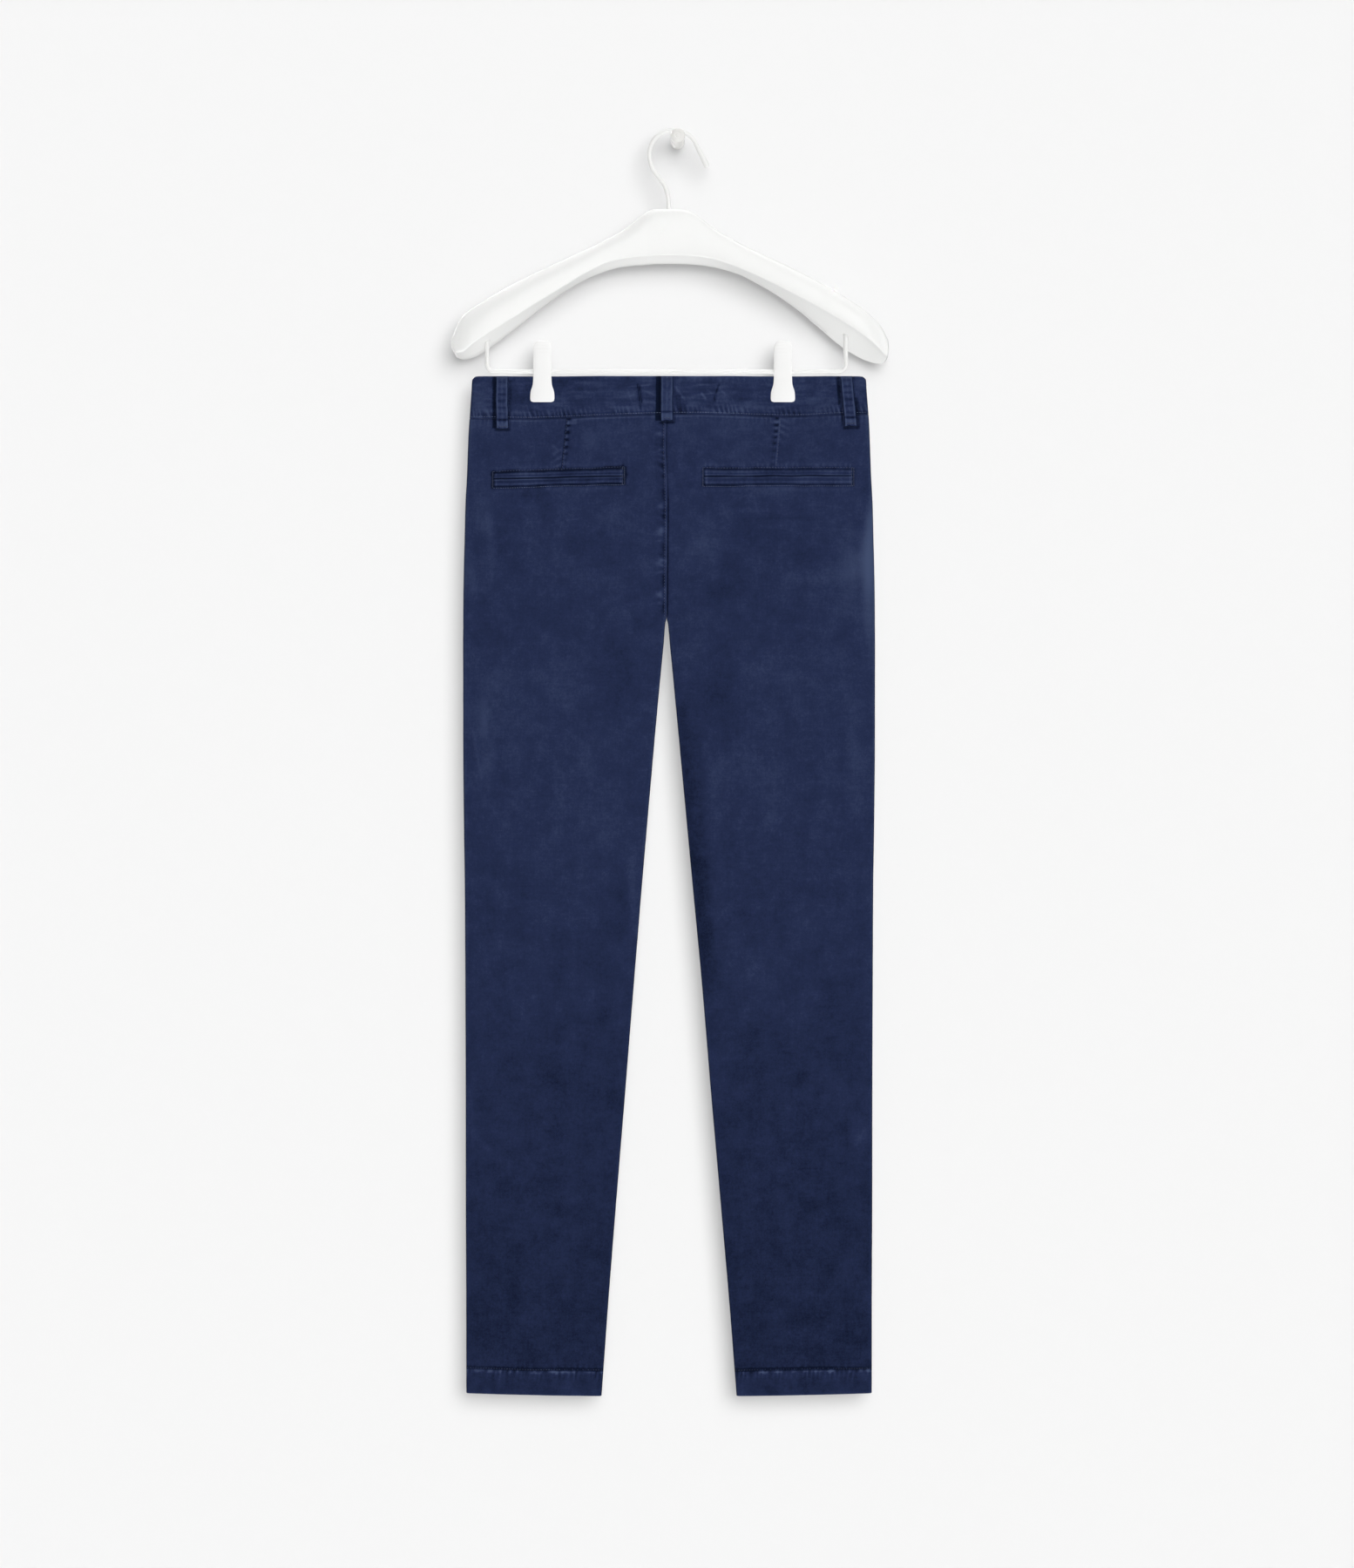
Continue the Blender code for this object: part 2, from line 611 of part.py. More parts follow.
def arm_section(out, top, front_low, rear_low, half_depth):
    # one station of the hanger: (x, y, z) round it, from the front edge over the top to the rear edge
    ring = []
    for step in range(ARM_ARC_POINTS):
        turn = math.pi * step / (ARM_ARC_POINTS - 1)
        across = -math.copysign(abs(math.cos(turn)) ** (2.0 / ARM_SQUARENESS), math.cos(turn))
        up = max(0.0, math.sin(turn)) ** (2.0 / ARM_SQUARENESS)
        low = mix(front_low, rear_low, (across + 1.0) / 2.0)
        ring.append((out, half_depth * across, -mix(low, top, up)))
    return ring


def hanger_body():
    stations = []
    for row in table_rows(HANGER_FIELDS, LEFT_ARM_TABLE):
        stations.append(arm_section(-row["out"], row["top"], row["front_low"], row["rear_low"],
                                    row["half_depth"]))
    for middle in (-10.0, 10.0):
        stations.append(arm_section(middle, 0.0, COLLAR_FRONT_LOW, COLLAR_REAR_LOW, COLLAR_HALF))
    for row in table_rows(HANGER_FIELDS, RIGHT_ARM_TABLE):
        stations.append(arm_section(row["out"], row["top"], row["front_low"], row["rear_low"],
                                    row["half_depth"]))
    mesh = sheet_mesh("hanger_body", stations, (0.0, -1.0, 0.0), closed=True)
    bm = bmesh.new()
    bm.from_mesh(mesh)
    bmesh.ops.holes_fill(bm, edges=bm.edges, sides=0)
    bmesh.ops.recalc_face_normals(bm, faces=bm.faces)
    bm.to_mesh(mesh)
    bm.free()
    body = add_piece("hanger_body", mesh, "white_lacquer", place=(GARMENT_X, HANG_Y, -COLLAR_DROP))
    drill_hole(body, "hook_hole", GARMENT_X, -COLLAR_DROP, HOOK_RADIUS + FREE_FIT, HOOK_SUNK + 2.0, -1)
    left_low = -underside(LEFT_ARM_TABLE, GARMENT_X - BAR_LEFT)
    right_low = -underside(RIGHT_ARM_TABLE, BAR_RIGHT - GARMENT_X)
    drill_hole(body, "bar_hole_left", BAR_LEFT, left_low, BAR_RADIUS + FREE_FIT, BAR_SUNK + 2.0, 1)
    drill_hole(body, "bar_hole_right", BAR_RIGHT, right_low, BAR_RADIUS + FREE_FIT, BAR_SUNK + 2.0, 1)


def drill_hole(body, name, x, mouth_z, radius, depth, up):
    # a blind hole whose cutter starts well outside the mouth; up is 1 or -1, the way it goes in
    overshoot = 10.0
    length = depth + overshoot
    middle = Vector((x, HANG_Y, mouth_z + up * (depth - overshoot) / 2.0)) * MM
    bpy.ops.mesh.primitive_cylinder_add(vertices=HOLE_SIDES, radius=radius * MM, depth=length * MM,
                                        location=middle)
    cutter = bpy.context.object
    cutter.name = name
    for home in list(cutter.users_collection):
        home.objects.unlink(cutter)
    cutters.objects.link(cutter)
    cutter.hide_render = True
    cutter.display_type = "WIRE"
    cut = body.modifiers.new(name, "BOOLEAN")
    cut.operation = "DIFFERENCE"
    cut.solver = "EXACT"
    cut.object = cutter


def clip_jaw(name, middle, facing):
    rows = []
    for row in table_rows(JAW_FIELDS, JAW_TABLE):
        half = row["half_width"]
        rows.append([(x, facing * row["stand"], -row["below_top"]) for x in (-half, half)])
    mesh = sheet_mesh(name, rows, (0.0, facing, 0.0))
    jaw = add_piece(name, mesh, "white_moulding", place=(GARMENT_X + middle, HANG_Y, -CLIP_TOP_DROP))
    thicken(jaw, CLIP_WALL, offset=1.0)


def clip_spring(name, middle):
    # the coil round the bar that presses the jaws together, as a plain sleeve
    inner = BAR_RADIUS + FREE_FIT
    half = SPRING_LENGTH / 2.0
    profile = ((SPRING_RADIUS, half), (SPRING_RADIUS, -half), (inner, -half), (inner, half))
    turned(name, profile, "white_wire", place=(GARMENT_X + middle, HANG_Y, -BAR_DROP),
           turn=(0.0, math.pi / 2.0, 0.0), closed=True)


def wall_peg():
    head = PEG_PROFILE[0][0]
    profile = [(0.0, head)] + [(radius, out) for out, radius in PEG_PROFILE] + [(0.0, 0.0)]
    turned("wall_peg", profile, "peg_enamel", turn=(math.pi / 2.0, 0.0, 0.0))


def waist_button():
    # a turned disc with a low rim, in front of the band at centre front
    x = -2.0 - BUTTON_FROM_SEAM
    drop = BAND_HEIGHT / 2.0
    across = (-BUTTON_RADIUS, 0.0, BUTTON_RADIUS)
    rest = max(surface_depth(x + step, drop, 1) for step in across) + LAID
    rim = 1.6
    sunk = 0.6
    profile = ((0.0, BUTTON_WALL - sunk), (BUTTON_RADIUS - rim - 0.8, BUTTON_WALL - sunk),
               (BUTTON_RADIUS - rim, BUTTON_WALL), (BUTTON_RADIUS - 0.7, BUTTON_WALL),
               (BUTTON_RADIUS, BUTTON_WALL - 0.8), (BUTTON_RADIUS, 0.6), (BUTTON_RADIUS - 0.6, 0.0),
               (0.0, 0.0))
    turned("waist_button", profile, "button_resin",
           place=(GARMENT_X + x, HANG_Y + rest, -WAIST_DROP - drop), turn=(-math.pi / 2.0, 0.0, 0.0))


clear_scene()
parts = new_collection("chino_trousers_on_hanger")
cutters = new_collection("hanger_hole_cutters")
hanging_point = bpy.data.objects.new("hanging_point", None)
parts.objects.link(hanging_point)

shell = [
    leg_panel("back_left", -1, -1),
    leg_panel("back_right", 1, -1),
    leg_panel("front_left", -1, 1),
    leg_panel("front_right", 1, 1),
    waistband_half("waistband_left", -1),
    waistband_half("waistband_right", 1),
]
shell_tree = surface_tree(shell)
for loop_row in table_rows(LOOP_FIELDS, LOOP_TABLE):
    belt_loop(loop_row)
for welt_row in table_rows(WELT_FIELDS, WELT_TABLE):
    pocket_welts(welt_row)
hem_ring("hem_left", -1)
hem_ring("hem_right", 1)
slant_pocket_edge("pocket_edge_left", -1)
slant_pocket_edge("pocket_edge_right", 1)
fly_flap("fly_flap")
fly_zip("fly_zip")
waist_button()

wall_peg()
wire("hanger_hook", hook_route(), HOOK_RADIUS, "white_wire", HOOK_TIP_SCALE)
hanger_body()
wire("trouser_bar", bar_route(), BAR_RADIUS, "white_wire")
for clip_name, clip_side, clip_middle in CLIP_TABLE:
    clip_jaw(f"{clip_name}_front", clip_side * clip_middle, -1)
    clip_jaw(f"{clip_name}_rear", clip_side * clip_middle, 1)
    clip_spring(f"{clip_name}_spring", clip_side * clip_middle)
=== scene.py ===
# Looks for slim twill trousers that hang from a clip hanger on a wall peg, back to the viewer.
# Sizes are in millimetres until a mesh is made. Drop is the distance below the waist's top edge,
# x is measured from the trousers' centre line. Left is -X, and the back faces -Y.

import json
import math
from functools import partial

import bmesh
import bpy
import numpy as np
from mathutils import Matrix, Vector

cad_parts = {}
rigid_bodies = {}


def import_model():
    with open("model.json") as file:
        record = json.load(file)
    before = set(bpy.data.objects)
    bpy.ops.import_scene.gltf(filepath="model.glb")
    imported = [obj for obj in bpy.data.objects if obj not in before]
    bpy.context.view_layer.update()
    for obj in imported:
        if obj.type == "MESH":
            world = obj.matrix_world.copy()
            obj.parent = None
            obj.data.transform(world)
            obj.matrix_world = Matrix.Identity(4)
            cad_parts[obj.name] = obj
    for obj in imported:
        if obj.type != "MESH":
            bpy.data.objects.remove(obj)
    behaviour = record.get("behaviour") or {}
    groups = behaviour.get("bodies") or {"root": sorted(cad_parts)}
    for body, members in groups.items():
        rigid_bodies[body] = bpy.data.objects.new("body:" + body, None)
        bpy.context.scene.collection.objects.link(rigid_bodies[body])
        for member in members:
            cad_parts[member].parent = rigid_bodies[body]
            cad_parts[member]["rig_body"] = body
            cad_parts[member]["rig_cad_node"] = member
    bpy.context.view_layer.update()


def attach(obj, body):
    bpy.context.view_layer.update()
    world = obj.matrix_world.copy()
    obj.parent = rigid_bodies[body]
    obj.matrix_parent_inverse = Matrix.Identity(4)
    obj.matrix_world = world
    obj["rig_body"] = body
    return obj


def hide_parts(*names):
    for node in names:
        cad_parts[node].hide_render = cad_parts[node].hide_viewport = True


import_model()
mm = 0.001

trousers = {
    "x": -9.7, "y": -30, "waistDrop": 246,  # centre line, middle plane and top edge of the waist
    "twill": 1, "band": 1.8,  # walls
    "bandHeight": 42, "hemDrop": 1050, "hemHeight": 26.5, "hemRise": 3,
    "foldRadius": 3, "foldStrip": 0.7, "crestRun": 62, "seam": 0.15,
    "forkStart": 238, "forkRun": 19,  # where the legs part
}

# drop, half width, half the gap between the legs, seam's shift, half depth, share of depth at the seam
sectionRows = np.array((
    (0, 199.5, 0, -1.6, 7.6, 1), (4, 202.8, 0, -1.6, 7.9, 1), (14, 203.4, 0, -1.6, 8.1, 1),
    (28, 204.4, 0, -1.8, 8.3, 1), (42, 205.4, 0, -2.2, 8.6, 1), (55, 206.3, 0, -3, 9, 1),
    (75, 207.1, 0, -3.2, 9.4, 1), (100, 208, 0, -2.4, 9.8, 1), (133, 209.7, 0, -1.5, 10, 0.97),
    (169, 210.6, 0, -1.8, 10, 0.88), (205, 211.5, 0, -2.1, 9.8, 0.68), (232, 211.9, 0, -2.3, 9.4, 0.4),
    (250, 212, 0, -2.1, 9.1, 0), (254, 212, 1.1, -2, 9.1, 0), (276, 212.2, 3, -1.8, 8.9, 0),
    (313, 212.1, 6.6, -1.8, 8.7, 0), (385, 212, 13.3, -1.7, 8.4, 0), (460, 211.3, 20.1, -1.5, 8.2, 0),
    (530, 210.3, 26.4, -1.2, 8, 0), (630, 209.8, 35.2, -0.6, 7.7, 0), (745, 209.4, 44.6, -0.4, 7.4, 0),
    (850, 209.3, 53.5, -0.1, 7.2, 0), (950, 208.9, 61.8, 0.3, 7, 0), (1050, 208.8, 69.6, 0.6, 7, 0)), float)


def smooth(value):
    value = np.clip(value, 0, 1)
    return value * value * (3 - 2 * value)


def mix(first, second, share):
    return first + (second - first) * share


def bell(distance, width):
    return np.exp(-(np.asarray(distance) / width) ** 2)


def steadyCurve(knots, values, at):
    # a smooth curve through a table's values that never swings past them
    knots, values, at = np.asarray(knots, float), np.asarray(values, float), np.asarray(at, float)
    steps = np.diff(knots)
    rises = np.diff(values) / steps
    slopes = np.concatenate(([rises[0]], np.zeros(len(rises) - 1), [rises[-1]]))
    turning = rises[:-1] * rises[1:] > 0
    slopes[1:-1][turning] = (2 * rises[:-1] * rises[1:])[turning] / (rises[:-1] + rises[1:])[turning]
    at = np.clip(at, knots[0], knots[-1])
    place = np.clip(np.searchsorted(knots, at, side="right") - 1, 0, len(steps) - 1)
    t = (at - knots[place]) / steps[place]
    step = steps[place]
    return ((2 * t ** 3 - 3 * t ** 2 + 1) * values[place] + (t ** 3 - 2 * t ** 2 + t) * slopes[place] * step
            + (3 * t ** 2 - 2 * t ** 3) * values[place + 1] + (t ** 3 - t ** 2) * slopes[place + 1] * step)


randomLine = np.random.default_rng(41).uniform(-1, 1, 997)
randomField = np.random.default_rng(43).uniform(-1, 1, (61, 61))


def wander(along, size, seed=0):
    # smooth random values from -1 to 1 along a line
    place = np.asarray(along, float) / size + seed * 17.3
    low = np.floor(place).astype(int)
    share = smooth(place - low)
    return mix(randomLine[low % 997], randomLine[(low + 1) % 997], share)


def mottle(x, y, sizeX, sizeY, seed=0):
    # smooth random values from -1 to 1 over a surface
    px, py = np.asarray(x, float) / sizeX + seed * 7.7, np.asarray(y, float) / sizeY + seed * 3.1
    lowX, lowY = np.floor(px).astype(int), np.floor(py).astype(int)
    shareX, shareY = smooth(px - lowX), smooth(py - lowY)
    left, right = lowX % 61, (lowX + 1) % 61
    upper, lower = (mix(randomField[left, row % 61], randomField[right, row % 61], shareX)
                    for row in (lowY, lowY + 1))
    return mix(upper, lower, shareY)


clipMiddles = (-130.2, 118.1)
pinch = {"depth": 2.3, "flat": 15, "run": 44, "from": 28, "end": 110}


def sectionAt(drop):
    return [steadyCurve(sectionRows[:, 0], sectionRows[:, column], drop) for column in range(1, 6)]


def innerEdge(side, drop):
    _, legGap, seamShift, _, _ = sectionAt(drop)
    return side * seamShift + legGap + trousers["seam"]


def outerEdge(drop, side=-1):
    return sectionAt(drop)[0] + (1.15 if side > 0 else 0)


def forkShare(drop):
    return smooth((np.asarray(drop, float) - trousers["forkStart"]) / trousers["forkRun"])


def roundOff(distance):
    radius, strip = trousers["foldRadius"], trousers["foldStrip"]
    near = radius - np.clip(distance, 0, radius)
    return (strip + np.sqrt(np.maximum(0, radius ** 2 - near ** 2))) / (strip + radius)


def crest(distance):
    return np.sin(np.pi / 2 * np.clip(distance / trousers["crestRun"], 0, 1))


def clothDepth(side, drop, out):
    # from the middle plane to the cloth's outer face, at a distance out from the centre line
    _, _, _, full, share = sectionAt(drop)
    fromInner = out - innerEdge(side, drop)
    fromOuter = outerEdge(drop, side) - out
    base = (trousers["foldRadius"] + trousers["foldStrip"]) / full
    forked = forkShare(drop)
    depth = full * mix(base, 1, crest(fromOuter)) * roundOff(fromOuter)
    above = share + (1 - share) * crest(fromInner)
    below = mix(base, 1, crest(fromInner)) * roundOff(fromInner)
    depth = depth * mix(above, below, forked)
    grip = 0
    for middle in clipMiddles:
        grip = np.maximum(grip, 1 - smooth((np.abs(side * out - middle) - pinch["flat"]) / pinch["run"]))
    down = 1 - smooth((drop - pinch["from"]) / (pinch["end"] - pinch["from"]))
    held = mix(depth, np.minimum(depth, pinch["depth"]), grip * down)
    return np.where(depth > pinch["depth"], held, depth)


# the waist seam's small waves: place across the back, and how far the seam is below its mean line
backSeamWave = ((-206, 1.7), (-144, 2.3), (-114, 1.4), (-86, 0.5), (-47, -1), (-18, -1.9), (32, -2.5),
                (75, -1.3), (130, -0.4), (165, -1.7), (206, -2.9))
frontSeamWave = ((-206, 1.7), (-120, 0.6), (-30, -0.6), (60, 0.2), (130, -1.2), (206, -2.9))


def waistSeam(facing, x):
    wave = np.array(backSeamWave if facing < 0 else frontSeamWave, float)
    return trousers["bandHeight"] + steadyCurve(wave[:, 0], wave[:, 1], x)


# long soft creases on the back (-1) and the front (1): x and drop at the start, then at the end, width,
# height above or below the cloth
creases = {-1: (
    (-121, 70, -112, 79, 1.5, 0.8), (-119.5, 79, -112, 88, 1.5, 0.7), (-103, 88, -109, 95, 1.4, 0.6),
    (-126, 66, -113, 72, 1.6, -0.4), (-25, 262, -8, 250, 2.2, -0.5), (-33, 259, -12, 243, 3, 0.35),
    (58, 139, 118, 137, 2, 0.14), (86, 144, 156, 149, 1.8, -0.14), (72, 157, 124, 154, 2.2, 0.1),
    (112, 162, 158, 157, 2, 0.1), (-190, 127, -176, 205, 5, 0.4), (-203, 140, -196, 210, 3, -0.35),
    (204, 150, 207, 268, 4.5, 0.5), (195, 160, 199, 240, 4, -0.45), (-201.5, 366, -192, 424, 1.8, 0.6),
    (-196, 330, -183, 436, 7.5, 0.3), (-176, 344, -170, 420, 6, -0.25), (189, 336, 196, 436, 6.5, 0.3),
    (178, 350, 181, 430, 6, -0.25), (-38, 486, -33, 580, 4, 0.4), (-52, 500, -50, 590, 7, -0.35),
    (29, 350, 44, 600, 5, -0.55), (42, 370, 58, 590, 8, 0.35), (-199, 782, -171, 813, 3, 0.45),
    (-203, 770, -176, 801, 2.6, -0.35), (207, 776, 184, 797, 3, 0.4), (209, 766, 189, 786, 2.6, -0.3),
    (-150, 600, -144, 680, 12, 0.12), (134, 535, 138, 600, 12, 0.2), (-120, 300, -60, 292, 8, 0.15),
    (60, 318, 140, 306, 9, 0.15), (-140, 720, -90, 738, 7, -0.3), (95, 742, 150, 722, 7, -0.3),
    (-165, 905, -158, 990, 8, -0.2), (160, 900, 165, 990, 8, -0.2), (-130, 860, -124, 1000, 9, 0.3),
    (125, 840, 130, 990, 9, 0.3), (-100, 60, -60, 84, 6, 0.3), (60, 84, 100, 62, 6, 0.3),
    (-30, 120, -70, 150, 9, 0.3), (24, 128, 50, 170, 8, 0.25)), 1: (
    (-18, 262, -70, 236, 5, 0.7), (-14, 250, -58, 216, 4, -0.5), (16, 262, 66, 238, 5, 0.7),
    (12, 250, 54, 220, 4, -0.5), (-160, 205, -120, 250, 7, 0.5), (150, 208, 116, 246, 7, 0.5),
    (-186, 340, -178, 450, 6, 0.5), (186, 350, 180, 440, 6, 0.5), (-40, 470, -48, 600, 6, -0.45),
    (46, 480, 52, 610, 6, -0.45), (-160, 640, -90, 668, 7, 0.45), (-150, 690, -84, 704, 6, -0.4),
    (100, 660, 170, 636, 7, 0.45), (94, 700, 160, 688, 6, -0.4), (-135, 820, -128, 980, 8, 0.35),
    (130, 830, 134, 990, 8, 0.35), (-190, 742, -160, 770, 4, 0.4), (190, 752, 164, 776, 4, 0.4))}
# faded and deeper places of the wash, with a painted highlight along the right-hand fold (the rows at x 186
# to 209, drop 150 to 250) and painted shadow under the right belt loop (186, 57): x and drop of the middle,
# half width, half height, strength
washesAndPaintedLight = {-1: (
    (209, 184, 7, 62, 0.5), (200, 192, 17, 40, 0.42), (186, 198, 18, 26, 0.2), (206, 250, 8, 45, 0.2),
    (160, 204, 30, 7, 0.16), (204, 122, 4, 22, -0.3), (-197, 140, 8, 34, 0.17), (-205, 200, 11, 32, 0.35),
    (-180, 318, 30, 15, 0.22), (-184, 175, 6, 40, 0.2), (90, 139, 30, 2, 0.14),
    (120, 147, 34, 1.8, -0.16), (104, 156, 26, 2, 0.12), (44, 178, 26, 26, 0.1), (60, 220, 38, 18, -0.12),
    (-84, 50, 20, 7, -0.18), (186, 57, 12, 5, -0.22), (128, 211, 11, 11, 0.14), (-90, 178, 14, 9, -0.18),
    (-146, 123, 14, 11, -0.18), (-60, 150, 16, 12, 0.1), (150, 182, 18, 9, -0.12),
    (112, 120, 20, 8, 0.12), (-188, 385, 12, 50, 0.08), (-189.5, 357, 4, 14, 0.2),
    (192, 385, 10, 50, 0.16), (-37, 534, 6, 42, 0.22), (-147, 643, 18, 38, 0.05), (136, 565, 16, 32, 0.1),
    (-201, 780, 13, 10, 0.34), (-203, 750, 5, 30, 0.3), (-182, 797, 14, 4, 0.2), (198, 785, 12, 12, 0.3),
    (-162, 958, 12, 26, -0.1), (162, 966, 12, 20, -0.12), (-60, 62, 22, 12, 0.12),
    (-110, 318, 44, 26, 0.07), (120, 310, 44, 22, 0.07), (52, 335, 26, 44, -0.3),
    (-50, 308, 24, 42, -0.2), (-90, 470, 34, 40, 0.08), (100, 440, 30, 46, 0.08),
    (-120, 250, 34, 20, -0.1), (100, 266, 40, 16, -0.08), (-28, 256, 12, 5, -0.2), (208, 150, 5, 26, 0.3),
    (90, 700, 26, 24, -0.12), (-60, 750, 34, 18, -0.12), (-190, 860, 10, 60, 0.1),
    (195, 900, 9, 60, 0.1)), 1: (
    (205, 190, 9, 50, 0.5), (-205, 190, 9, 50, 0.5), (-100, 330, 36, 60, 0.35), (100, 330, 36, 60, 0.35),
    (-125, 660, 40, 44, 0.3), (128, 660, 40, 44, 0.3), (-20, 240, 24, 16, 0.25), (24, 240, 24, 16, 0.2),
    (-110, 900, 20, 60, -0.12), (120, 900, 20, 60, -0.12))}
washLines = (  # slanting streaks: x and drop at both ends, width, strength
    (92, 148, 40, 238, 13, -0.16), (46, 142, 22, 204, 12, 0.14), (-190, 150, -130, 214, 12, -0.1),
    (-150, 160, -70, 226, 14, 0.08), (60, 560, 130, 690, 13, 0.12), (150, 700, 204, 790, 9, 0.12),
    (-60, 640, -120, 760, 10, -0.1), (196, 206, 126, 216, 5, 0.12))
seamKnots = (  # dark and light gathers left of the seat seam: drop, half length, strength
    (68, 4, -0.3), (91, 2.5, -0.5), (102.5, 3, -0.5), (120, 7, -0.5), (144, 6, -0.65), (177, 7, -0.65),
    (209.5, 7, -0.65), (240, 7, -0.6), (58, 2.5, 0.55), (75.5, 2, 0.45), (133, 3, 0.65), (159, 4.5, 0.8),
    (168, 1.2, 0.4), (190.5, 4.5, 0.8), (201, 1.4, 0.45), (223, 3.5, 0.8), (232, 1.6, 0.45))
darts = (  # top (x, drop), point (x, drop), side on which the fold lies
    {"top": (-105.5, 43.5), "end": (-110.9, 97.9), "foldSide": 1, "knots": 1, "line": 0.4,
     "patch": (-99.2, 47.4, 0.42)},
    {"top": (115, 42.1), "end": (110, 96.5), "foldSide": -1, "knots": 0.6, "line": 1,
     "patch": (109.5, 46, 0.15)},
)
pockets = (  # the welts' frame and mouth, as (x, drop) at both ends
    {"name": "left", "start": -180.3, "end": -46.2, "top": (99.5, 95.2), "mouth": (106.3, 103.2),
     "low": (115, 111.3), "dark": ((-47, 95.5, 1.5), (-44.5, 102, 0.9), (-181, 101, 0.7), (-180, 113, 0.6)),
     "depth": 1, "shade": ((-148.7, 20, 0.18), (-92, 26, -0.1), (-176, 8, -0.15))},
    {"name": "right", "start": 36.5, "end": 190.2, "top": (95.9, 95.3), "mouth": (103.9, 102.6),
     "low": (113.1, 112.4), "dark": ((35.5, 99, 0.6), (37, 112, 0.5), (191, 98, 0.5)), "depth": 0.3,
     "shade": ((99, 26, -0.22),)},
)


def crease(x, drop, startX, startDrop, endX, endDrop, width, height, seed=0):
    runX, runD = endX - startX, endDrop - startDrop
    length = math.hypot(runX, runD)
    along = ((x - startX) * runX + (drop - startDrop) * runD) / length ** 2
    off = ((x - startX) * runD - (drop - startDrop) * runX) / length
    off = off + wander(along * length, 26, seed) * width * 0.35
    fade = smooth((along + 0.08) / 0.3) * smooth((1.08 - along) / 0.38)
    return height * fade * (1 + 0.3 * wander(along * length, 18, seed + 5)) * bell(off, width)


def puckers(along, away, pitch, reach, height, seed, slant=0):
    # small gathers that cross a line of stitching and die out beside it
    uneven = along + pitch * 0.5 * wander(along, pitch * 1.9, seed)
    wave = 2.1 * (0.5 + 0.5 * np.cos(2 * np.pi * (uneven + slant * away) / pitch)) ** 1.7 - 0.8
    strength = np.maximum(0.15, 0.6 + 0.6 * wander(along, pitch * 2.3, seed + 3))
    return height * wave * strength * smooth(away / 1.6) * (1 - smooth((away - 1) / reach))


def within(value, start, end, soft):
    # 1 between start and end, 0 outside, with soft borders
    return smooth((value - start) / soft + 0.5) * smooth((end - value) / soft + 0.5)


def toneByDrop(drop):
    # lighter or darker with the drop, darker towards the hems
    return steadyCurve((0, 60, 150, 330, 430, 520, 640, 810, 930, 1000, 1054),
                       (0, 0.03, 0, 0.03, 0.02, -0.04, -0.14, -0.29, -0.4, -0.43, -0.38), drop)


def clothWaves(x, drop, seed):
    # the slight unevenness of cloth that was washed and hung up
    return (0.28 * mottle(x, drop, 46, 90, seed) + 0.16 * mottle(x, drop, 22, 40, seed + 2)
            + 0.06 * mottle(x, drop, 9, 13, seed + 4))


def hemSeam(facing, side, x):
    return trousers["hemDrop"] - trousers["hemHeight"] + 1.6 * wander(x, 46, facing * 2 + side)


def hemSlope(side, drop, out):
    # how much lower the hem runs at the inseam, fading out above it
    share = (outerEdge(drop, side) - out) / (outerEdge(drop, side) - innerEdge(side, drop))
    return trousers["hemRise"] * np.clip(share, 0, 1) * smooth((drop - 960) / 80)


def hemRelief(facing, side, x, drop):
    level = drop - hemSlope(side, drop, side * x)  # as if the hem were level
    below = level - hemSeam(facing, side, x)
    seed = side + facing
    gather = puckers(x, below, 4.9, 14, 0.5, 11 + seed, slant=0.12)
    gather += 0.5 * puckers(x, -below, 6.1, 9, 0.3, 17 + seed)
    height = 0.3 * smooth(below / 1.6 + 0.3) - 0.3 * bell(below, 0.9) + gather
    scallop = np.maximum(0, wander(x, 3.6, 23 + seed) + 0.4 + 0.5 * wander(x, 19, 27 + side))
    wash = 1.15 * scallop * bell(below - 2.3 - 0.7 * wander(x, 2.9, 29), 1.5) + 1.1 * gather
    # painted shadow in a line just above the hem seam
    wash -= (1.15 + 0.35 * wander(x, 11, 31 + side)) * bell(below + 0.4, 1.4)
    wash += 0.4 * bell(trousers["hemDrop"] - level, 1.6) + 0.08 * smooth(below / 2)
    wash += 0.2 * mottle(x, drop, 7, 12, 5 + side) * smooth(below / 2)
    if side > 0:
        wash += 0.16 * bell(below - 6.5, 1.3)
    return height, wash


def waistGather(facing, x, drop, seed, height, wash):
    # the seam under the band
    under = drop - waistSeam(facing, x)
    gather = puckers(x, under, 5, 9, 0.2, 21 + seed)
    height += gather
    wash += (0.3 + 0.3 * wander(x, 21, seed)) * bell(under - 1.8, 0.9) - 0.6 * bell(under, 0.8)
    wash += 0.1 * bell(under - 8, 9) + 0.9 * gather


def centreSeam(facing, drop, fromInner, joined, height, wash):
    # its allowance lies to the left, under the left panel
    gather = puckers(drop, fromInner, 7.6, 12, 0.42, 31 + facing, slant=0.42)
    gather *= mix(0.4, 1, np.maximum(bell(drop - 78, 24), smooth((drop - 132) / 20))) * joined
    height += joined * (0.28 * (1 - smooth((fromInner - 10) / 4)) + 0.3 * bell(fromInner - 0.4, 1.4)) + gather
    wash += joined * (0.45 * bell(fromInner - 0.4, 0.8) - 0.22 * bell(fromInner - 2.8, 1.2)) + gather
    for middle, half, strength in seamKnots if facing < 0 else ():
        away = bell(fromInner - 3, 2.3) if strength < 0 else bell(fromInner - 6, 4.6)
        knot = joined * strength * away * bell(drop - middle - 0.25 * fromInner, half)
        height += 0.35 * knot
        wash += knot
    wash -= 0.12 * joined * smooth((12 - fromInner) / 3)


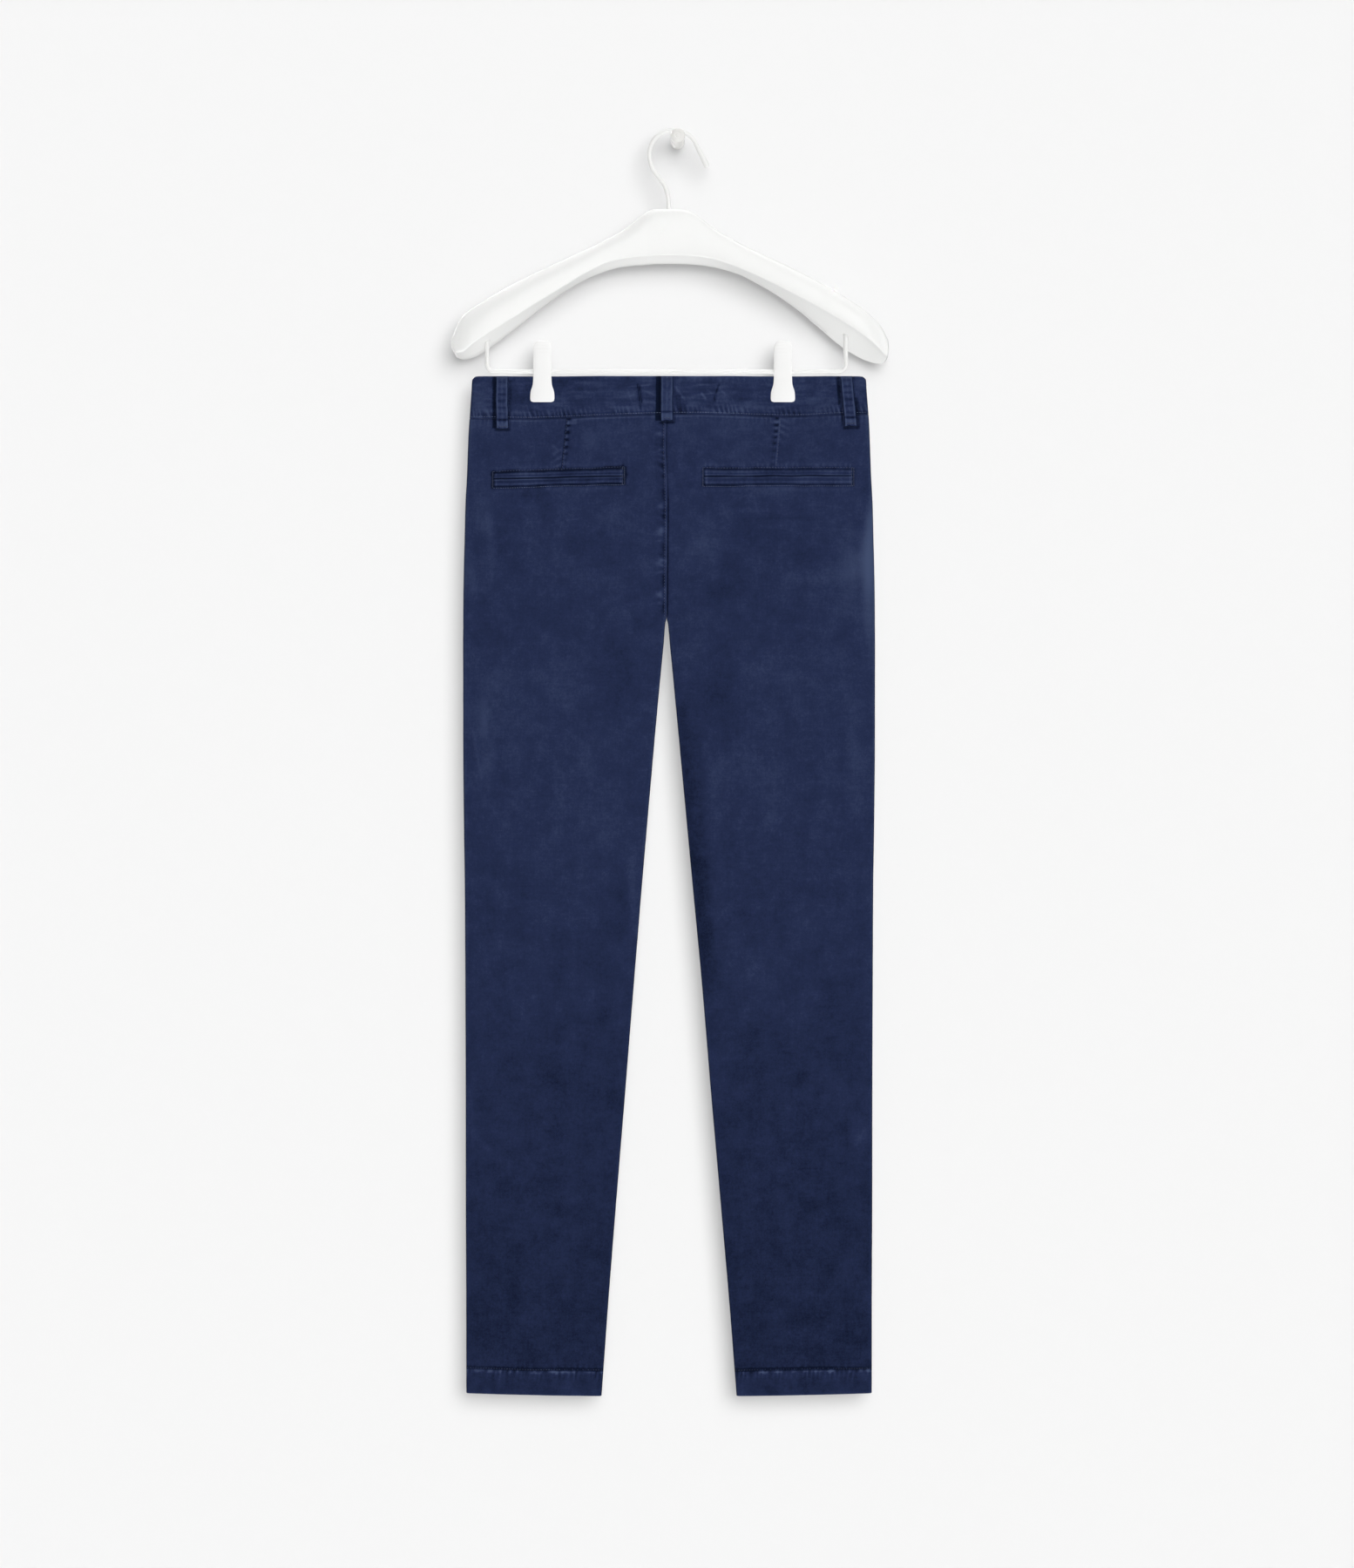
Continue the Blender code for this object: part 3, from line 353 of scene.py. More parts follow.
def panelRelief(facing, side, x, drop):
    # height above the plain cloth and strength of the wash, at places on a leg panel
    fromInner = side * x - innerEdge(side, drop)
    fromOuter = outerEdge(drop, side) - side * x
    seed = 3 * facing + side
    height = clothWaves(x, drop, seed + 9)
    wash = toneByDrop(drop) - 0.03 + 0.08 * mottle(x, drop, 15, 19, seed + 12)
    wash += 0.05 * mottle(x, drop, 34, 60, seed + 15)
    for number, row in enumerate(creases[facing]):
        fold = crease(x, drop, *row, number)
        height += fold
        wash += 0.28 * fold
    for middleX, middleDrop, halfWide, halfHigh, strength in washesAndPaintedLight[facing]:
        wash += strength * bell(x - middleX, halfWide) * bell(drop - middleDrop, halfHigh)
    waistGather(facing, x, drop, seed, height, wash)
    joined = 1 - smooth((drop - 243) / 8)
    legs = 1 - joined
    if side < 0:
        centreSeam(facing, drop, fromInner, joined, height, wash)
    else:
        # the right panel dips beside the seat seam, and painted shade darkens that groove
        height -= joined * 0.62 * bell(fromInner, 1.2)
        wash -= joined * (0.45 + 0.8 * smooth((drop - 110) / 30)) * bell(fromInner - 0.7, 1.2)
    # inseam and outseam of the legs
    inseam = puckers(drop, fromInner, 9, 8, 0.2, 41 + seed)
    height += legs * inseam + puckers(drop, fromOuter, 10, 7, 0.16, 45 + seed)
    wash += legs * 0.22 * bell(fromInner - 1.2, 1.6) + 0.26 * bell(fromOuter - 1.4, 1.8)
    if facing > 0:
        slantSeam(side, x, drop, height, wash)
    else:
        for number, row in enumerate(washLines):
            wash += crease(x, drop, *row, number + 50)
        # painted shadow beside and under the belt loops
        wash -= paintedShadowBesideLoops(x, drop)
        if side > 0:
            # painted shade along the right leg's inner fold, which turns away from the light
            innerFoldShade = smooth((drop - 300) / 80) * (1 - smooth((drop - 560) / 120))
            wash -= 0.55 * bell(fromInner - 5, 10) * innerFoldShade
        for dart in darts:
            sewDart(dart, x, drop, height, wash)
        for pocket in pockets:
            sinkPocket(pocket, x, drop, height, wash)
    hemHeight, hemWashAndShade = hemRelief(facing, side, x, drop)
    atHem = smooth((drop - 1004) / 10)
    return height * mix(1, 0.6, atHem) + hemHeight * atHem, wash + hemWashAndShade * atHem


def sewDart(dart, x, drop, height, wash):
    (topX, topDrop), (endX, endDrop) = dart["top"], dart["end"]
    line, foldSide = dart["line"], dart["foldSide"]
    share = (drop - topDrop) / (endDrop - topDrop)
    inside = smooth(share * 16 + 0.5) * (1 - smooth((share - 0.94) * 12))
    away = (x - topX - (endX - topX) * share) * foldSide
    gather = puckers(drop, away, 7.4, 8, 0.5, 51 + foldSide) * inside * (1 - 0.5 * smooth(share))
    uneven = drop + 1.2 * wander(drop, 9, 55 + foldSide)
    knots = (0.5 + 0.5 * np.cos(2 * np.pi * (uneven - topDrop - 8) / 6.9)) ** 2.2 * inside
    knots = knots * (1 - 0.55 * smooth((share - 0.45) / 0.3)) * dart["knots"]
    patchX, patchDrop, strength = dart["patch"]
    patch = smooth((4.9 - np.abs(x - patchX)) / 1.2 + 0.5) * smooth(3.1 - np.abs(drop - patchDrop))
    height += inside * (0.24 * bell(away, 0.9) - 0.3 * bell(away - 1.6, 0.9)) + gather + 0.2 * patch
    fold = smooth(away / 1.5) * (1 - smooth((away - 9) / 3))
    height += inside * 0.2 * fold - 0.35 * knots * bell(away - 3, 1.9)
    wash += inside * (line * 0.5 * bell(away, 0.9) - (1.3 - line) * bell(away - 1.5 * line, 0.9)) + gather
    wash += 0.6 * (dart["knots"] * inside - knots) * bell(away - 2.2, 1.2)
    wash -= 1.7 * knots * bell(away - 3.2, 2.4)
    gathered = inside * bell(share - (0.72 if foldSide > 0 else 0.3), 0.32)
    wash += 0.6 * gathered * puckers(drop, -away, 8, 15, 0.5, 57, slant=-0.6) + strength * patch


def pocketLines(pocket, x):
    share = (x - pocket["start"]) / (pocket["end"] - pocket["start"])
    return [mix(*pocket[line], share) + 0.4 * wander(x, 19, seed)
            for seed, line in enumerate(("top", "mouth", "low"))]


def sinkPocket(pocket, x, drop, height, wash):
    top, mouth, low = pocketLines(pocket, x)
    start, end, depth = pocket["start"], pocket["end"], pocket["depth"]
    across = within(x, start, end, 1.6)
    inside = across * within(drop, top, low, 1.4)
    above = across * puckers(x, top - drop, 4.9, 7, 0.3, 61 + int(start))
    below = across * puckers(x, drop - low, 5.6, 6, 0.2, 67 + int(start))
    height *= 1 - 0.7 * inside
    height += above + below - 0.35 * inside
    height -= 0.3 * across * (bell(drop - top + 1.2, 1.1) + bell(drop - low - 1.4, 0.8))
    patchy = 0.85 + 0.6 * wander(x, 9, 63) + 0.4 * wander(x, 31, 64)
    edge = across * patchy * (bell(drop - top + 0.4, 1.5) + 0.9 * bell(drop - low - 0.4, 1.2))
    level = smooth((drop - top) / 2 + 1) * smooth((low - drop) / 2 + 1)
    for out, size in ((start - x, 1), (x - end, 1.1)):
        edge += size * bell(out - 1, 1.4) * level
        wash += 0.16 * bell(out - 4, 1.3) * level
    for spotX, spotDrop, size in pocket["dark"]:
        edge += size * bell(x - spotX, 3.2) * bell(drop - spotDrop, 3.4)
    wash += 0.9 * above + 0.7 * below
    wash += 0.14 * across * (bell(top - drop - 4, 2) + bell(drop - low - 4.5, 2))
    wash -= (0.22 + 0.78 * depth) * edge + 0.35 * inside
    # painted shade in the pocket's mouth, with dye built up there too
    wash -= (0.7 + 0.9 * depth) * inside * bell(drop - mouth, 1.6)


fly = {"width": 37, "end": 218, "edge": -3.2}
slant = {"topIn": 42, "lowIn": 9, "lowDrop": 190, "topDrop": 44, "width": 7}


def slantLine(side, drop):
    topOut = outerEdge(slant["topDrop"], side) - slant["topIn"]
    lowOut = outerEdge(slant["lowDrop"], side) - slant["lowIn"]
    return side * mix(topOut, lowOut, (drop - slant["topDrop"]) / (slant["lowDrop"] - slant["topDrop"]))


def slantSeam(side, x, drop, height, wash):
    off = side * (x - slantLine(side, drop))
    above = 1 - smooth((drop - slant["lowDrop"]) / 6)
    height -= above * 0.5 * smooth(off / 1.5) * (1 - smooth((off - 6) / 30))
    wash += above * (0.3 * bell(off + 0.5, 1.2) - 0.5 * bell(off - 1.2, 1.2))


labelMarks = (  # stitching of a label inside the band: x at its top, lean, top and end drop
    (-32.1, 0.13, 7, 36), (52.6, -0.33, 7, 20), (47.6, 0.05, 19, 28), (-30, 0.13, 8, 30))
labelScuffs = (  # light lines round it: x and drop at both ends, width, strength
    (-44, 11, -14, 9, 0.9, 0.5), (-40, 21, -34, 19, 1.1, 0.4), (-26, 15, -8, 22, 1.2, 0.35),
    (-42, 16, -36, 31, 1, 0.3), (28, 9, 54, 8.5, 0.9, 0.6), (33, 16, 40, 26, 1.1, 0.6),
    (38, 13, 46, 19, 1, 0.5), (52, 12, 60, 20, 1, 0.45), (26, 20, 60, 17, 1.1, 0.3),
    (5, 8, 18, 26, 1.2, 0.4), (9, 22, 30, 23, 0.9, 0.3))
bandWash = ((-196, 12, 0.12), (-140, 34, -0.14), (30, 26, 0.1), (-88, 20, -0.16))  # x, half width, strength
paintedLoopShadows = (  # painted shadow in the hollows beside and under the belt loops: x, half width, lean, top and end drop, strength
    (-9.9, 2.9, 0, -2, 46, 2), (6, 1, 0, -2, 47, 0.4), (7.5, 3, 0.1, 20, 39, 0.5),
    (12, 3, 0.1, 29, 39.5, 0.45), (-179.8, 1.9, 0, -2, 54, 1.15), (-163.4, 1.6, 0, 4, 40, 0.4),
    (-164.8, 1.3, 0, 36, 54, 0.7), (174.6, 1.7, 0.06, -2, 30, 0.9), (192.4, 2, 0.06, 22, 54, 0.9),
    (176.6, 1.2, 0.06, 30, 52, 0.6), (190.6, 1.1, 0.06, -2, 24, 0.5), (-171.4, 8, 0, 54.4, 57, 0.8),
    (-1.6, 8, 0, 47.2, 49.4, 1), (188, 8, 0, 52.4, 54.8, 0.8))


def paintedShadowBesideLoops(x, drop):
    shade = 0
    for shadeX, width, lean, top, end, strength in paintedLoopShadows:
        aside = np.abs(x - shadeX - lean * drop)
        shade = shade + strength * smooth((width + 0.8 - aside) / 1.6) * within(drop, top, end, 1.4)
    return shade


def bandRelief(facing, side, x, drop):
    above = waistSeam(facing, x) - drop
    seed = 70 + 5 * facing + side
    gather = puckers(x, above - 0.5, 4.9, 12, 0.42, seed + 2, slant=0.28)
    gather += puckers(x, drop - 1, 6.5, 6, 0.1, seed + 6)
    height = 0.22 * mottle(x, drop, 26, 16, seed) + 0.14 * mottle(x, drop, 34, 4, seed + 1) + gather
    height += 0.16 * bell(drop - 1.6, 1.6) - 0.22 * bell(above - 1.9, 0.8)
    wash = 0.03 + 1.5 * gather + 0.25 * bell(drop - 0.6, 1.1)
    for number, (strength, sizeX, sizeY) in enumerate(((0.16, 15, 5), (0.18, 26, 2.3), (0.13, 8, 1.7))):
        wash += strength * mottle(x, drop, sizeX, sizeY, seed + 3 + number)
    for middle, half, strength in bandWash:
        wash += strength * bell(x - middle, half)
    wash += 0.16 * bell(above - 9, 5) - 0.4 * bell(above - 0.4, 0.7) - 0.2 * bell(above - 3.2, 1)
    if facing < 0:
        for topX, lean, top, end in labelMarks:
            mark = bell(x - topX - lean * (drop - top), 0.8)
            mark = mark * smooth((drop - top) / 3) * smooth((end - drop) / 3)
            height -= 0.4 * mark
            wash -= mark
        for number, row in enumerate(labelScuffs):
            line = crease(x, drop, *row, number)
            height += 0.12 / row[-1] * line
            wash += line
        # painted shadow beside the belt loops
        wash -= paintedShadowBesideLoops(x, drop)
    return height, wash


print("cloth rules ready")


def grid(x, y, z):
    return np.stack(np.broadcast_arrays(x, y, z), axis=-1)


def place(points):
    # from the trousers' own millimetres to metres in the shared frame
    return (np.asarray(points, float) + np.array((trousers["x"], trousers["y"], -trousers["waistDrop"]))) * mm


def gridNormals(points, facing):
    # unit normals of a grid of points, to the viewer's side (-1) or to the wall (1)
    normals = np.cross(np.gradient(points, axis=1), np.gradient(points, axis=0))
    normals /= np.maximum(np.linalg.norm(normals, axis=2, keepdims=True), 1e-9)
    middle = normals[normals.shape[0] // 2, normals.shape[1] // 3]
    return normals if middle[1] * facing > 0 else -normals


def pieceName(node):
    # belt_loop_back_left becomes beltLoopBackLeft
    first, *others = node.split("_")
    return first + "".join(word.title() for word in others)


def addObject(name, data):
    piece = bpy.data.objects.new(name, data)
    bpy.context.scene.collection.objects.link(piece)
    return piece


def newPiece(name, points, faces, material, node=None, uv=None, wash=None):
    # points in metres; a name with an underscore is that of the node that the piece stands for
    mesh = bpy.data.meshes.new(pieceName(name))
    mesh.from_pydata(np.asarray(points).tolist(), [], faces)
    if uv is not None:
        corners = np.zeros(len(mesh.loops), np.int32)
        mesh.loops.foreach_get("vertex_index", corners)
        layer = mesh.uv_layers.new(name="cloth")
        layer.data.foreach_set("uv", np.asarray(uv, np.float32)[corners].ravel())
        mesh.attributes.new("wash", "FLOAT", "POINT").data.foreach_set("value", np.asarray(wash, np.float32))
    mesh.polygons.foreach_set("use_smooth", np.ones(len(mesh.polygons), bool))
    mesh.update()
    mesh.materials.append(material)
    piece = addObject(pieceName(name), mesh)
    node = name if "_" in name else node
    if node:
        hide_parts(node)
    return piece


def clothShell(name, outer, inner, wash, facing, material=None, node=None, closed=False):
    # a closed shell of cloth between two grids of the same size, in the trousers' millimetres
    rows, columns = outer.shape[:2]
    count = rows * columns
    index = np.arange(count).reshape(rows, columns)
    if closed:
        index = np.concatenate((index, index[:, :1]), axis=1)
    front = np.stack((index[:-1, :-1], index[:-1, 1:], index[1:, 1:], index[1:, :-1]), axis=-1).reshape(-1, 4)
    borders = [index[0], index[-1][::-1]] + ([] if closed else [index[::-1, 0], index[:, -1]])
    rims = [np.stack((edge[1:], edge[:-1], edge[:-1] + count, edge[1:] + count), axis=1) for edge in borders]
    faces = np.concatenate([front, front[:, ::-1] + count] + rims)
    row, column = rows // 2, columns // 3
    middle = outer[row, column]
    if np.cross(outer[row, column + 1] - middle, outer[row + 1, column] - middle)[1] * facing < 0:
        faces = faces[:, ::-1]
    points = place(np.concatenate((outer.reshape(-1, 3), inner.reshape(-1, 3))))
    across = np.zeros((rows, columns))
    across[:, 1:] = np.cumsum(np.linalg.norm(np.diff(outer, axis=1), axis=2), axis=1)
    uv = np.stack((across, -outer[:, :, 2]), axis=2).reshape(-1, 2) * mm
    wash = np.tile(np.broadcast_to(wash, (rows, columns)).ravel(), 2)
    return newPiece(name, points, faces.tolist(), material or navyTwill, node, np.tile(uv, (2, 1)), wash)


def fixNormals(piece):
    bm = bmesh.new()
    bm.from_mesh(piece.data)
    bmesh.ops.recalc_face_normals(bm, faces=bm.faces)
    bm.to_mesh(piece.data)
    bm.free()
    return piece


def ringFaces(rings, sides):
    # quads between neighbouring rings of points, then a face over either end
    last = (rings - 1) * sides
    faces = []
    for first in range(0, last, sides):
        for side in range(sides):
            corner, neighbour = first + side, first + (side + 1) % sides
            faces.append((corner, neighbour, neighbour + sides, corner + sides))
    return faces + [tuple(range(sides))[::-1], tuple(range(last, last + sides))]


def tube(name, route, radii, material, sides):
    # a round wire along points in metres, with rounded ends
    radii = np.broadcast_to(np.asarray(radii, float), (len(route),))
    turns = np.radians((30, 60, 84))
    caps = []
    for end, near, radius in ((route[0], route[1], radii[0]), (route[-1], route[-2], radii[-1])):
        heading = (end - near) / np.linalg.norm(end - near)
        caps.append((end + np.outer(radius * np.sin(turns), heading), radius * np.cos(turns)))
    route = np.vstack((caps[0][0][::-1], route, caps[1][0]))
    radii = np.concatenate((caps[0][1][::-1], radii, caps[1][1]))
    tangents = np.gradient(route, axis=0)
    tangents /= np.linalg.norm(tangents, axis=1, keepdims=True)
    upright = np.array((0, 1, 0) if abs(tangents[0][1]) < 0.9 else (1, 0, 0))
    angles = np.arange(sides) * 2 * np.pi / sides
    rings = []
    for point, tangent, radius in zip(route, tangents, radii):
        upright = upright - tangent * (upright @ tangent)
        upright /= np.linalg.norm(upright)
        beside = np.cross(tangent, upright)
        rings.append(point + radius * (np.outer(np.cos(angles), upright) + np.outer(np.sin(angles), beside)))
    return fixNormals(newPiece(name, np.concatenate(rings), ringFaces(len(rings), sides), material))


def turnedPiece(name, profile, material, centre, facing, sides):
    # a solid of (radius, distance) points in millimetres round an axis along y
    angles = np.arange(sides) * 2 * np.pi / sides
    ring = grid(facing * np.sin(angles), 0, np.cos(angles))
    axis = np.array((0, facing, 0))
    rings = [axis * along + radius * ring for radius, along in profile[1:-1]]
    points = np.concatenate([[axis * profile[0][1]], *rings, [axis * profile[-1][1]]]) + centre
    last = len(points) - 1
    faces = []
    for side in range(sides):
        after = (side + 1) % sides
        faces.append((0, 1 + side, 1 + after))
        for first in range(1, last - sides, sides):
            faces.append((first + side, first + sides + side, first + sides + after, first + after))
        faces.append((last - sides + side, last, last - sides + after))
    return fixNormals(newPiece(name, points * mm, faces, material))


def asPlainMesh(piece):
    # the piece with its modifiers made real
    depsgraph = bpy.context.evaluated_depsgraph_get()
    old = piece.data
    mesh = bpy.data.meshes.new_from_object(piece.evaluated_get(depsgraph), depsgraph=depsgraph)
    piece.modifiers.clear()
    piece.data = mesh
    bpy.data.meshes.remove(old)
    mesh.name = piece.name
    return piece


def drill(piece, radius, depth, spot, sides, rotation=(0, 0, 0)):
    # a round hole; radius and depth in millimetres, spot in metres
    bpy.ops.mesh.primitive_cylinder_add(vertices=sides, radius=radius * mm, depth=depth * mm, location=spot,
                                        rotation=rotation)
    cutter = bpy.context.object
    hole = piece.modifiers.new("hole", "BOOLEAN")
    hole.object, hole.solver = cutter, "EXACT"
    asPlainMesh(piece)
    bpy.data.objects.remove(cutter)


def connect(tree, node, inputs):
    # each input gets a constant, a socket or the first output of another node; colours have no alpha
    for key, value in inputs.items():
        if isinstance(value, bpy.types.Node):
            value = value.outputs[0]
        if isinstance(value, bpy.types.NodeSocket):
            tree.links.new(value, node.inputs[key])
        else:
            isColor = node.inputs[key].type == "RGBA"
            node.inputs[key].default_value = (*value, 1) if isColor else value
    return node


def put(tree, kind, inputs=None, **settings):
    made = tree.nodes.new(kind)
    for name, value in settings.items():
        setattr(made, name, value)
    return connect(tree, made, inputs or {})


def newGroup(name, inputs, outputs, kind="ShaderNodeTree"):
    # inputs by label: a kind of socket, or the first value of a number
    group = bpy.data.node_groups.new(name, kind)
    for way, labels in (("INPUT", inputs), ("OUTPUT", outputs)):
        for label, given in labels.items():
            kindOfSocket = given if isinstance(given, str) else "Float"
            socket = group.interface.new_socket(label, in_out=way, socket_type="NodeSocket" + kindOfSocket)
            if kindOfSocket != given:
                socket.default_value = given
    return group, group.nodes.new("NodeGroupInput").outputs, group.nodes.new("NodeGroupOutput")


def maths(tree, operation, first, second=0, third=0, clamp=False):
    return put(tree, "ShaderNodeMath", {0: first, 1: second, 2: third}, operation=operation, use_clamp=clamp)


def noise(tree, vector, scale, detail, roughness=0.5):
    return put(tree, "ShaderNodeTexNoise", {"Vector": vector, "Scale": scale, "Detail": detail,
                                            "Roughness": roughness})


def longNoise(tree, vector, scales):
    # noise with its own scale along each axis
    return noise(tree, put(tree, "ShaderNodeMapping", {"Vector": vector, "Scale": scales}), 1, 2)


def blend(tree, share, first, second):
    return put(tree, "ShaderNodeMix", {0: share, 6: first, 7: second}, data_type="RGBA").outputs[2]


def makeTwillWeave():
    # ribs of a twill across the piece's own UV, with slubs and fuzz
    group, given, out = newGroup(
        "twillWeave", {"Vector": "Vector", "Rib Pitch": 0.0009, "Slub": 0.5, "Fuzz": 0.4},
        {"Height": "Float", "Tone": "Float"})
    vector, pitch = given["Vector"], given["Rib Pitch"]
    calc = partial(maths, group)
    parts = put(group, "ShaderNodeSeparateXYZ", {0: vector})
    slant = calc("MULTIPLY_ADD", parts.outputs[1], 1.35, parts)
    slant = calc("MULTIPLY_ADD", noise(group, vector, 90, 1), 0.0012, slant)
    ribs = calc("SINE", calc("DIVIDE", calc("MULTIPLY", slant, 2 * math.pi), pitch))
    turns = calc("MULTIPLY", parts.outputs[1], 2 * math.pi)
    cross = calc("SINE", calc("DIVIDE", turns, calc("MULTIPLY", pitch, 0.62)))
    slub = calc("ADD", longNoise(group, vector, (55, 900, 1)), longNoise(group, vector, (900, 55, 1)))
    slub = calc("MULTIPLY", calc("SUBTRACT", slub, 1), given["Slub"])
    fuzz = calc("MULTIPLY", calc("SUBTRACT", noise(group, vector, 1500, 2), 0.5), given["Fuzz"])
    height = calc("MULTIPLY_ADD", cross, 0.2, calc("MULTIPLY_ADD", ribs, 0.38, 0.5))
    height = calc("ADD", calc("ADD", height, slub), fuzz)
    tone = calc("ADD", calc("MULTIPLY_ADD", ribs, 0.12, slub), calc("MULTIPLY", fuzz, 0.5))
    connect(group, out, {"Height": height, "Tone": tone})
    return group


def makeDyeWithPaintedShade():
    # colour of a garment dye: base, faded where it is worn, and deeper in the hollows, where both the dye and
    # painted shade darken it; painted highlights also use the faded colour
    group, given, out = newGroup("washedDye", {
        "Position": "Vector", "Wash": 0, "Tone": 0, "Base": "Color", "Faded": "Color", "Deep": "Color",
        "Mottling": 0.2}, {"Color": "Color", "Roughness": "Float"})
    place, wash = given["Position"], given["Wash"]
    calc = partial(maths, group)
    soft = noise(group, place, 48, 6, 0.92)
    streaks = calc("ADD", longNoise(group, place, (330, 330, 40)), longNoise(group, place, (45, 45, 380)))
    blotch = calc("MULTIPLY_ADD", streaks, 0.16, calc("MULTIPLY_ADD", soft, 1.3, -1.035))
    blotch = calc("MULTIPLY_ADD", noise(group, place, 420, 2, 0.9), 0.55, calc("SUBTRACT", blotch, 0.05))
    uneven = calc("MULTIPLY", given["Mottling"], calc("MULTIPLY_ADD", wash, -0.9, 1))
    wash = calc("ADD", calc("MULTIPLY_ADD", blotch, uneven, wash), calc("MULTIPLY", given["Tone"], 0.35))
    lighter = blend(group, calc("MULTIPLY", wash, 1, clamp=True), given["Base"], given["Faded"])
    darker = blend(group, calc("MULTIPLY", wash, -1, clamp=True), lighter, given["Deep"])
    connect(group, out, {"Color": darker, "Roughness": calc("MULTIPLY_ADD", blotch, 0.06, 0.86)})
    return group


def makeSurfaceGrain():
    # fine unevenness of a painted, moulded or drawn surface
    group, given, out = newGroup("surfaceGrain", {
        "Position": "Vector", "Scale": 300, "Spread": 0.1, "Roughness": 0.4, "Color": "Color",
        "Dust Color": "Color", "Dust": 0.1}, {"Height": "Float", "Roughness": "Float", "Color": "Color"})
    calc = partial(maths, group)
    fine = noise(group, given["Position"], given["Scale"], 3)
    wide = noise(group, given["Position"], 14, 4)
    height = calc("MULTIPLY_ADD", wide, 0.6, calc("MULTIPLY", fine, 0.4))
    centred = calc("SUBTRACT", height, 0.5)
    rough = calc("MULTIPLY_ADD", centred, given["Spread"], given["Roughness"])
    share = calc("MULTIPLY", calc("MULTIPLY_ADD", centred, 2.4, 0.5, clamp=True), given["Dust"])
    connect(group, out, {"Height": height, "Color": blend(group, share, given["Color"], given["Dust Color"]),
                         "Roughness": rough})
    return group


twillWeave, washedDye, surfaceGrain = makeTwillWeave(), makeDyeWithPaintedShade(), makeSurfaceGrain()


def startMaterial(name, values):
    material = bpy.data.materials.new(name)
    material.use_nodes = True
    tree = material.node_tree
    return material, tree, connect(tree, tree.nodes["Principled BSDF"], values)


def makeCloth(name, look):
    material, tree, shader = startMaterial(name, {
        "Sheen Weight": look["sheen"], "Sheen Roughness": 0.45, "Sheen Tint": look["sheenTint"],
        "Specular IOR Level": look["specular"]})
    spots = put(tree, "ShaderNodeTexCoord").outputs
    wash = put(tree, "ShaderNodeAttribute", attribute_name="wash")
    weave = put(tree, "ShaderNodeGroup", node_tree=twillWeave)
    connect(tree, weave, {"Vector": spots["UV"], "Rib Pitch": look["ribPitch"], "Slub": look["slub"],
                          "Fuzz": look["fuzz"]})
    dye = put(tree, "ShaderNodeGroup", node_tree=washedDye)
    connect(tree, dye, {"Position": spots["Object"], "Wash": wash.outputs["Fac"],
                        "Tone": weave.outputs["Tone"], "Base": look["base"], "Faded": look["faded"],
                        "Deep": look["deep"], "Mottling": look["mottling"]})
    bump = put(tree, "ShaderNodeBump", {"Height": weave, "Distance": look["relief"], "Strength": 1})
    connect(tree, shader, {"Base Color": dye, "Roughness": dye.outputs["Roughness"], "Normal": bump})
    return material


def makeThread(name, dark, light):
    material, tree, shader = startMaterial(name, {"Sheen Weight": 0.2, "Sheen Tint": (0.6, 0.7, 0.9),
                                                  "Specular IOR Level": 0.3, "Roughness": 0.7})
    tone = put(tree, "ShaderNodeAttribute", attribute_name="tone")
    twist = noise(tree, put(tree, "ShaderNodeTexCoord").outputs["Object"], 2600, 1)
    toned = maths(tree, "MULTIPLY", tone.outputs["Fac"], 0.75)
    share = maths(tree, "MULTIPLY_ADD", twist, 0.5, toned, clamp=True)
    connect(tree, shader, {"Base Color": blend(tree, share, dark, light),
                           "Normal": put(tree, "ShaderNodeBump", {"Height": twist, "Distance": 0.00008})})
    return material


def makeHard(name, look):
    material, tree, shader = startMaterial(name, {"Metallic": look.get("metallic", 0),
                                                  "Coat Weight": look.get("coat", 0)})
    grain = put(tree, "ShaderNodeGroup", node_tree=surfaceGrain)
    connect(tree, grain, {"Position": put(tree, "ShaderNodeTexCoord").outputs["Object"],
                          "Scale": look["grain"], "Spread": look.get("spread", 0.2),
                          "Roughness": look["roughness"], "Color": look["color"],
                          "Dust Color": look["dustColor"], "Dust": look["dust"]})
    bump = put(tree, "ShaderNodeBump", {"Height": grain, "Distance": look["relief"], "Strength": 0.6})
    connect(tree, shader, {"Base Color": grain.outputs["Color"], "Roughness": grain.outputs["Roughness"],
                           "Normal": bump})
    return material


